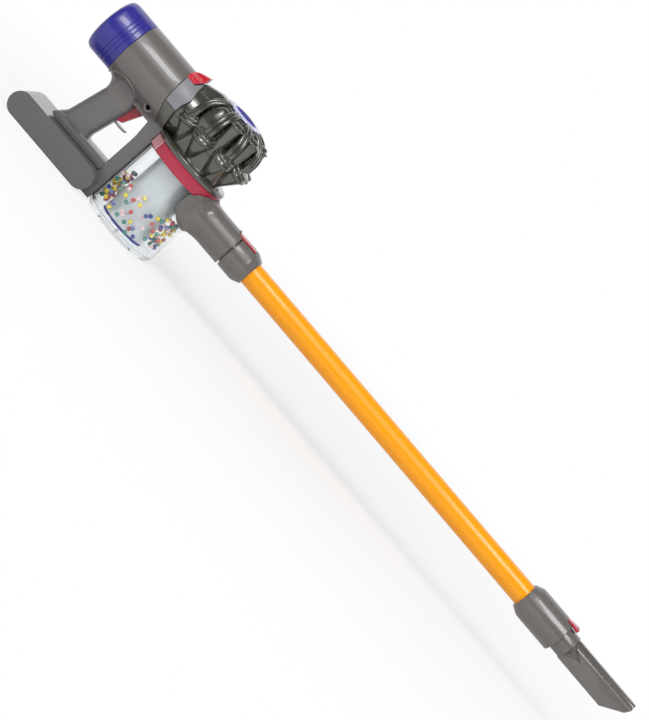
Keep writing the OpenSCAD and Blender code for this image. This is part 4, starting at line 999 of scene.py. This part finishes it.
end = WAND_X
top_profile = eased(
    [(COLLAR_SEAT_R, end), (COLLAR_MOUTH_R, end), (COLLAR_R, end - 7.6), (COLLAR_R, end - 24.4),
     (PLUG_R, end - 24.4), (PLUG_R, end - 44.1), (AIRWAY_R, end - 44.1), (AIRWAY_R, end - 18.4),
     (COLLAR_SEAT_R, end - 18.3)],
    [0.2, 0.6, 1.6, 0.9, 0.4, 0.8, 0.4, 0.1, 0.1], 6,
)
collar("upper_collar", top_profile, "top_collar", (-152.9, -131.9))
end = WAND_X + WAND_LENGTH
low_profile = eased(
    [(COLLAR_SEAT_R, end), (COLLAR_MOUTH_R, end), (COLLAR_R, end + 7.6), (COLLAR_R, end + 45.4),
     (TOOL_SOCKET_R, end + 45.4), (TOOL_SOCKET_R, end + 27.1), (AIRWAY_R, end + 27.1),
     (AIRWAY_R, end + 18.3), (COLLAR_SEAT_R, end + 18.3)],
    [0.2, 0.6, 1.6, 0.9, 0.4, 0.3, 0.2, 0.1, 0.1], 6,
)
collar("lower_collar", low_profile, "low_collar", (271.4, 290))

BUTTON_RED = (180, 22, 44)
BUTTON_R = 17.95
BUTTON_BORE_R = 14.6
BUTTON_WIDTH = 14.8
BUTTON_EASE = 0.8


def crowned_button(x0, x1, peak, fall):
    """Button bent round the wand's axis: a soft outline (x, arc) between two radii, its top edge eased in
    and its crown falling off by the square of the way from its peak."""
    centre = np.array([(x0 + x1) / 2, 0])
    half = np.array([(x1 - x0) / 2, BUTTON_WIDTH / 2])
    outline = eased([(x0, -half[1]), (x1, -half[1]), (x1, half[1]), (x0, half[1])], 1.2, 5)
    a = np.linspace(0, np.pi / 2, 5)
    inset = np.concatenate([[0], BUTTON_EASE * (1 - np.cos(a))])
    radius = np.concatenate([[BUTTON_BORE_R], BUTTON_R - BUTTON_EASE + BUTTON_EASE * np.sin(a)])
    swell = 1 - fall * ((outline[:, 0] - peak) / (x1 - x0)) ** 2
    grid = centre + (outline - centre)[None] * (1 - inset[:, None, None] / half)
    angle = np.arcsin(grid[..., 1] / (BUTTON_R + 0.5))
    r = BUTTON_BORE_R + (radius[:, None] - BUTTON_BORE_R) * swell[None]
    return skin(np.stack([grid[..., 0], r * np.sin(angle), WAND_Z + r * np.cos(angle)], -1))


button_red = moulded("button red", BUTTON_RED, 0.2, 0.4, 0.000006)
piece("neck_release_button", [crowned_button(-152.55, -132.2, -142.4, 1.5)],
      button_red, "wand_button", ["wand_button"], 50)
piece("tool_release_button", [crowned_button(271.8, 284.5, 283, 0.5)],
      button_red, "tool_button", ["tool_button"], 50)


# Crevice tool
# The grey ABS nozzle at the wand's end: a round plug for the lower collar and a hollow
# blade, cut off at a slant. A copy of its solid, rims eased and upper edges chamfered.

CHAMFER_SECTION = [(3.2, 7.9), (6.6, 7.1), (8.6, 3.34), (9.5, 12.0), (3.2, 12.0)]
CHAMFER_ENDS = (291.2, 365.0)
nozzle = softened("crevice_nozzle", "crevice_tool", barrel_plastic, "tool", 0.3)
chamfers = []
for side in (1, -1):
    section = np.array(CHAMFER_SECTION) * (side, 1) + (0, WAND_Z)
    rings = [np.concatenate([np.full((len(section), 1), x), section], 1) for x in CHAMFER_ENDS]
    chamfers.append(skin(np.stack(rings)))
cut_away(nozzle, chamfers, 30)


# Battery foot and its door
# Two dark grey ABS shells screwed together round the cells, and a door on the hidden side
# that slides out. Their walls are flat, so their solids are copied with eased rims.

FOOT_GREY = (90, 88, 91)
foot_plastic = moulded("foot plastic", FOOT_GREY, 0.22, 0.3, 0.000004)
foot_plastic.set({"Specular IOR Level": 0.7})
softened("foot_right", "foot_case_right", foot_plastic, "handheld")
softened("foot_left", "foot_case_left", foot_plastic, "handheld")
softened("foot_door", "battery_door", foot_plastic, "battery_door", 0.25)


# Trigger and finger rest
# The crimson ABS trigger, which swings on a pin in the grip, and the thin curved blade of
# grey ABS by it that the finger rests on. Copies of their solids with eased rims.

TRIGGER_RED = (156, 22, 42)
trigger_plastic = moulded("trigger plastic", TRIGGER_RED, 0.25, 0.3)
softened("pull_trigger", "trigger", trigger_plastic, "trigger", 0.6)
softened("rest_blade", "finger_rest", handle_plastic, "handheld", 0.3)


# Motors, fan, filter and switch
# What works inside: two steel motor cans with their shafts, a rubber ring, a fan wheel, a
# foam pad and a switch. They stay as plain solids and only take their finishes.


def dress(names, finish):
    """Gives plain nodes, kept as they are, the finish of their material."""
    for name in names:
        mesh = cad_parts[name].data
        mesh.materials.clear()
        mesh.materials.append(finish.material)


def metal(name, colour, roughness):
    """Plated steel: full metal, its gloss drawn out in fine lines by the tool that turned it."""
    finish = Finish(name, colour, {"Metallic": 1.0})
    finish.set({"Roughness": roughness + 0.15 * (finish.noise(500.0, 3.0, (0.1, 1, 1)) - 0.5)})
    return finish


plated = metal("plated steel", (182, 184, 188), 0.3)
dress(["motor", "motor_shaft", "stirrer_motor", "stirrer_shaft", "trigger_pin"], plated)
dress(["motor_mount", "trigger_switch"], moulded("black rubber", (22, 22, 22), 0.6))
dress(["filter_pad"], moulded("foam pad", (226, 226, 214), 0.9, 0.0, 0.0002))
dress(["fan_wheel"], moulded("fan plastic", (214, 214, 208), 0.35, 0.2))


# Springs
# Two springs wound from plated steel wire, one under the release lever and one below the
# trigger. Each stands in its seat.


def coil(x, low, high, radius, wire, turns):
    """Coil spring: its wire runs along (r cos t, r sin t, h) and h rises evenly but for half a flat turn
    at each end; round that line the wire's own ring is w cos u outwards and w sin u upwards."""
    t = np.linspace(0, 2 * np.pi * turns, int(20 * turns))[:, None]
    u = np.linspace(0, 2 * np.pi, 10, endpoint=False)[None]
    rise = np.clip((t - np.pi) / (t[-1] - 2 * np.pi), 0, 1)
    out = radius + wire * np.cos(u)
    up = low + wire + (high - low - 2 * wire) * rise + wire * np.sin(u)
    return skin(np.stack([x + out * np.cos(t), out * np.sin(t), up], -1))


lever_coil = piece(
    "lever_coil", [coil(-272.97, 134.6, 136.45, 1.6, 0.2, 3)],
    plated, "handheld", ["lever_spring"],
)
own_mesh(lever_coil)
trigger_coil = piece(
    "trigger_coil", [coil(-303.27, 51.8, 62.0, 1.65, 0.3, 7)],
    plated, "handheld", ["trigger_spring"],
)
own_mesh(trigger_coil)


# Cells, contacts and screws
# Four AA cells between plated steel contacts, and the screws of housings, foot and door:
# plain solids as well.

dress(["contact_plates", "contact_springs", "door_screw", "foot_screws"], plated)
dress(["housing_screws"], metal("blackened screw", (38, 38, 40), 0.35))
dress(["battery_cells"], moulded("cell wrap", (60, 110, 74), 0.25, 0.5))


# Floor, backdrop and light
# A white table and a white wall behind it, plain for the camera and for what is seen
# through the clear bin; a broad soft panel and two narrow strips, in a dim even room.


def ray(tree, kind):
    """1 for rays of one kind, 0 for the others."""
    return tree.node("ShaderNodeLightPath", {}, {}, kind)


def white_screen(name, corners, glossy, shadow):
    """White sheet: it lights like matt card, while the camera sees plain white (Mix Shader, Emission 1)
    that keeps a share of its shadow near the toy, fading to none 0.65 m away."""
    mesh = bpy.data.meshes.new(name)
    mesh.from_pydata(corners, [], [(0, 1, 2, 3)])
    sheet = bpy.data.objects.new(name, mesh)
    bpy.context.collection.objects.link(sheet)
    finish = Finish(name + " white", (238, 238, 238), {"Roughness": 0.9, "Specular IOR Level": 0.1})
    seen = ray(finish, "Is Camera Ray") + ray(finish, "Is Transmission Ray")
    if glossy:
        seen = seen + ray(finish, "Is Glossy Ray")
    far = finish.node("ShaderNodeVectorMath", {"operation": "LENGTH"}, {0: finish.place}, 1)
    share = finish.node("ShaderNodeClamp", {}, {"Value": (1 - shadow) + shadow * (far - 0.35) / 0.3})
    share = finish.node("ShaderNodeClamp", {}, {"Value": seen}) * share
    plain = finish.node("ShaderNodeEmission", {}, {"Color": (1, 1, 1, 1), "Strength": 1.0})
    matt = Wire(finish, finish.shader.outputs[0])
    mixed = finish.node("ShaderNodeMixShader", {}, {0: share, 1: matt, 2: plain})
    finish.feed(finish.tree.nodes["Material Output"].inputs["Surface"], mixed)
    mesh.materials.append(finish.material)


white_screen("floor", [(-9, -6, 0), (9, -6, 0), (9, 4, 0), (-9, 4, 0)], False, 0.2)
white_screen("backdrop", [(-9, 4, 0), (9, 4, 0), (9, 4, 7.5), (-9, 4, 7.5)], True, 0.0)

world = bpy.data.worlds.new("white room")
bpy.context.scene.world = world
room = NodeTree(world)


def room_light(strength):
    """Even white light of the room."""
    return room.node("ShaderNodeBackground", {}, {"Strength": strength, "Color": (1, 1, 1, 1)})


def chosen(kind, yes, no):
    """Mix Shader that takes yes for rays of one kind and no for the others."""
    return room.node("ShaderNodeMixShader", {}, {0: ray(room, kind), 1: no, 2: yes})


light = chosen("Is Glossy Ray", room_light(0.16), room_light(0.42))
light = chosen("Is Transmission Ray", room_light(1.0), light)
light = chosen("Is Camera Ray", room_light(1.0), light)
room.feed(room.tree.nodes["World Output"].inputs["Surface"], light)


def panel(name, place, aim, width, height, watts):
    """Soft light panel at a place, turned to face the aim: its local -Z lies along aim - place."""
    light = bpy.data.lights.new(name, "AREA")
    light.shape = "RECTANGLE"
    light.size, light.size_y = width, height
    light.energy = watts
    lamp = bpy.data.objects.new(name, light)
    bpy.context.collection.objects.link(lamp)
    lamp.location = place
    lamp.rotation_mode = "QUATERNION"
    lamp.rotation_quaternion = (Vector(aim) - Vector(place)).to_track_quat("-Z", "Y")


panel("key panel", (-0.35, -1.25, 1.45), (-0.05, 0, 0.07), 2.2, 1.5, 15)
panel("left strip", (-0.52, -1.15, 1.4), (-0.28, 0, 0.07), 0.36, 0.6, 6)
panel("right strip", (0.66, -1.2, 1.35), (0.28, 0, 0.07), 0.44, 0.85, 9.5)


# Camera
# Two metres off, 8.5 degrees above the side view, rolled so that the wand runs down to
# the right as in the photograph.

ROLL = (0.6483, 0.7614)
tilt = math.radians(8.5)
distance = 2.0
aim = Vector((-0.02666, 0, 0.0626))
side = Vector((1, 0, 0))
back = Vector((0, -math.cos(tilt), math.sin(tilt)))
rise = back.cross(side)
right = ROLL[0] * side + ROLL[1] * rise
above = ROLL[0] * rise - ROLL[1] * side
lens = bpy.data.cameras.new("camera")
lens.sensor_width = 36
lens.lens = 119.0
camera = bpy.data.objects.new("camera", lens)
bpy.context.collection.objects.link(camera)
turn = Matrix((right, above, back)).transposed().to_4x4()
camera.matrix_world = Matrix.Translation(aim + distance * back) @ turn
bpy.context.scene.camera = camera
bpy.context.scene.view_settings.view_transform = "Standard"
